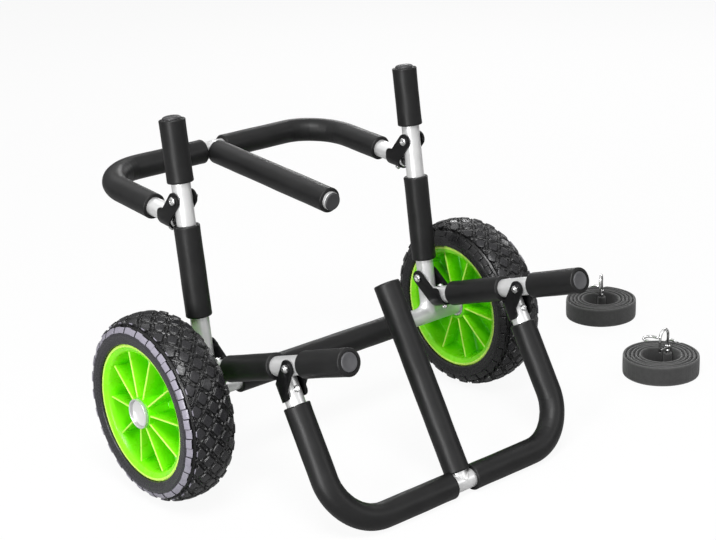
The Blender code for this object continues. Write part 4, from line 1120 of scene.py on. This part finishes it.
def outer_hook_shape(matrix):
    """The outer end's hook: a ring through the eye, a bent shank, and the wire wrapped where they join."""
    half = EYE_W / 2 + GAP + WIRE_R
    clear = WIRE_R + EYE_CLEAR + WEB_T
    bow = arc((clear, 0), half, -math.pi / 2, math.pi / 2, 40)
    corner = eased([(0.0, 0.0), (0.0, -half), (clear, -half)], 0.0035, 6)
    ring = [*corner[:-1], *bow, *[(x, -z) for x, z in reversed(corner[:-1])]]
    ring = [(x, 0, z) for x, z in ring[1:]]
    shape = wire_shape(Shape(), [*ring, ring[0]], matrix, (0, 1, 0), closed=True)
    tip = clear + half
    end = tip + HOOK_SHANK
    hook = arc((end, HOOK_R), HOOK_R, -math.pi / 2, math.pi / 2, 40)
    shank = [(tip, 0), *hook, (end - HOOK_TIP, 2 * HOOK_R)]
    wire_shape(shape, [(x, -y, 0) for x, y in shank], matrix, (0, 0, 1))
    length, turns, steps = 0.008, 4, 12
    wraps = [(WIRE_R + 0.0007 + 0.0004 * math.cos(2 * math.pi * i / steps), length * i / (turns * steps))
             for i in range(turns * steps + 1)]
    sleeve = [(WIRE_R * 0.9, 0), *wraps, (WIRE_R * 0.9, length)]
    return shape.skin(turned(sleeve, 32), matrix @ shift(tip + 0.0015, 0, 0) @ ALONG_X, capped=True)


def inner_hook_shape(matrix):
    """The inner end's hook: a wire up through the eye with a foot, a collar and a spring gate."""
    top = WEB_W + INNER_RISE
    tip = top - INNER_DROP
    start = (WEB_W - EYE_W) / 2 - GAP - 0.0015
    flat = [(0, start), *arc((INNER_R, top), INNER_R, math.pi, 0, 40), (2 * INNER_R, tip)]
    shape = wire_shape(Shape(), [(x, 0, z) for x, z in flat], matrix, (0, 1, 0))
    foot = eased([(0.0003, 0), (0.0045, 0), (0.0045, 0.0015), (0.0003, 0.0015)], 0.0005, 4)
    shape.skin(turned(foot, 40), matrix @ shift(0, 0, start), capped=True)
    collar = [
        (WIRE_R * 0.9, 0), (0.0036, 0.0006), (0.0038, 0.002), (0.0031, 0.0031), (0.0031, 0.0070),
        (0.0038, 0.0081), (0.0036, 0.0095), (WIRE_R * 0.9, 0.0101),
    ]
    shape.skin(turned(collar, 40), matrix @ shift(0, 0, WEB_W - 0.003), capped=True)
    gate = [(2 * INNER_R - 0.0004, 0, tip + 0.003), (0.0022, 0, WEB_W + 0.0045)]
    return wire_shape(shape, gate, matrix, (0, 1, 0), radius=GATE_R)


def build_straps():
    line, inner_wire, outer_wire, heading = webbing_line()
    for name, (x, y, turn) in STRAP_PLACES.items():
        place = shift(x, y, 0) @ rotation(math.radians(turn), "Z")
        band = band_shape(line, place)
        for closing in (line[26:34], line[-36:-28]):
            stitches(band, closing, place)
        part(f"{name}_band", band, "webbing", name)
        outer = outer_hook_shape(place @ facing(outer_wire, WEB_W / 2, heading))
        part(f"{name}_outer_hook", outer, "wire", name)
        inner = inner_hook_shape(place @ facing(inner_wire, 0, -inner_wire))
        part(f"{name}_inner_hook", inner, "wire", name)


build_frame()
build_arms()
build_u("stand", STAND, STAND_FOAM, -FOAM_PAST)
build_u("rack", RACK, RACK_FOAM, RACK_PRONG_BARE)
bpy.data.meshes.remove(BRACKET_MESH)
build_wheels()
build_straps()


# Stage

LAMPS = {
    "key": ((-1.1, -1.3, 2.9), (0, 0, 0.25), (1.3, 1.3), 76),
    "strip": ((-2.7, -1.25, 0.85), (0, 0, 0.3), (0.45, 1.6), 62),
    "fill": ((1.8, -2.8, 1.6), (0, 0, 0.2), (1.2, 1.0), 11),
    "back": ((0.6, 2.6, 2.6), (0, 0, 0.3), (2.2, 1.0), 12),
    "side": ((2.9, 0.6, 1.7), (0, 0, 0.2), (1.0, 1.2), 18),
    "glint": ((2.1, 2.3, 1.4), (0, 0, 0.2), (0.5, 0.5), 9),
}
CAMERA_PLACE = (-1.3633, -1.7088, 1.0076)
AZIMUTH, ELEVATION, ROLL = math.radians(-39.57), math.radians(19.14), math.radians(-2.19)
SENSOR, FOCAL_PIXELS, PICTURE_PIXELS = 36, 1678.1, 716


def studio_world():
    """A room brighter to the upper left: dim as a light, fuller in reflections, white to the camera."""
    world = bpy.data.worlds.new("studio")
    bpy.context.scene.world = world
    nodes = Nodes(world)
    look = nodes.add("TexCoord", "Generated")
    toward = nodes.add("VectorMath", "Value", {0: look, 1: (-0.62, -0.30, 0.72)}, operation="DOT_PRODUCT")
    room = nodes.range(toward, -0.35, 0.65, 0.14, 1.0)
    glossy, through, seen = (
        nodes.add("LightPath", f"Is {ray} Ray") for ray in ("Glossy", "Transmission", "Camera"))
    share = nodes.range(nodes.math("MAXIMUM", glossy, through), 0, 1, 0.22, 1.0)
    lit = nodes.math("MULTIPLY", room, share)
    strength = nodes.math("MAXIMUM", lit, nodes.math("MULTIPLY", seen, 0.975))
    nodes.feed(nodes.tree.nodes["Background"], {"Color": (1, 1, 1, 1), "Strength": strength})


def pale_floor():
    """A floor that is nearly white to the camera, where it keeps the shadow, and dimmer to all else."""
    bpy.ops.mesh.primitive_plane_add(size=40, location=(0, 0, -0.0004))
    floor = bpy.context.object
    floor.name = "floor"
    material, nodes = new_material("pale_floor")
    glossy, seen = (nodes.add("LightPath", f"Is {ray} Ray") for ray in ("Glossy", "Camera"))
    nodes.surface(nodes.range(seen, 0, 1, 0.45, 0.95), 0.9, Specular_IOR_Level=0.0)
    glow = nodes.add("Emission", 0, {"Color": (1, 1, 1, 1), "Strength": 1.0})
    share = nodes.math("MAXIMUM", nodes.math("MULTIPLY", glossy, 0.09), nodes.math("MULTIPLY", seen, 0.92))
    plain = nodes.tree.nodes["Principled BSDF"].outputs[0]
    mixed = nodes.add("MixShader", 0, {0: share, 1: plain, 2: glow})
    nodes.feed(nodes.tree.nodes["Material Output"], {"Surface": mixed})
    floor.data.materials.append(material)


def lamp(name, place, target, size, power):
    data = bpy.data.lights.new(name, "AREA")
    data.shape = "RECTANGLE"
    data.size, data.size_y = size
    data.energy = power
    obj = placed(name, data)
    obj.location = place
    obj.rotation_euler = (Vector(target) - Vector(place)).to_track_quat("-Z", "Y").to_euler()


def camera():
    data = bpy.data.cameras.new("camera")
    data.sensor_width = SENSOR
    data.sensor_fit = "HORIZONTAL"
    data.lens = FOCAL_PIXELS / PICTURE_PIXELS * SENSOR
    data.clip_start = 0.05
    data.clip_end = 60
    obj = placed("camera", data)
    tilt = rotation(math.pi / 2 - ELEVATION, "X")
    obj.matrix_world = shift(*CAMERA_PLACE) @ rotation(AZIMUTH, "Z") @ tilt @ rotation(ROLL, "Z")
    bpy.context.scene.camera = obj


studio_world()
pale_floor()
for lamp_name, lamp_set_up in LAMPS.items():
    lamp(lamp_name, *lamp_set_up)
camera()

scene = bpy.context.scene
scene.view_settings.view_transform = "Standard"
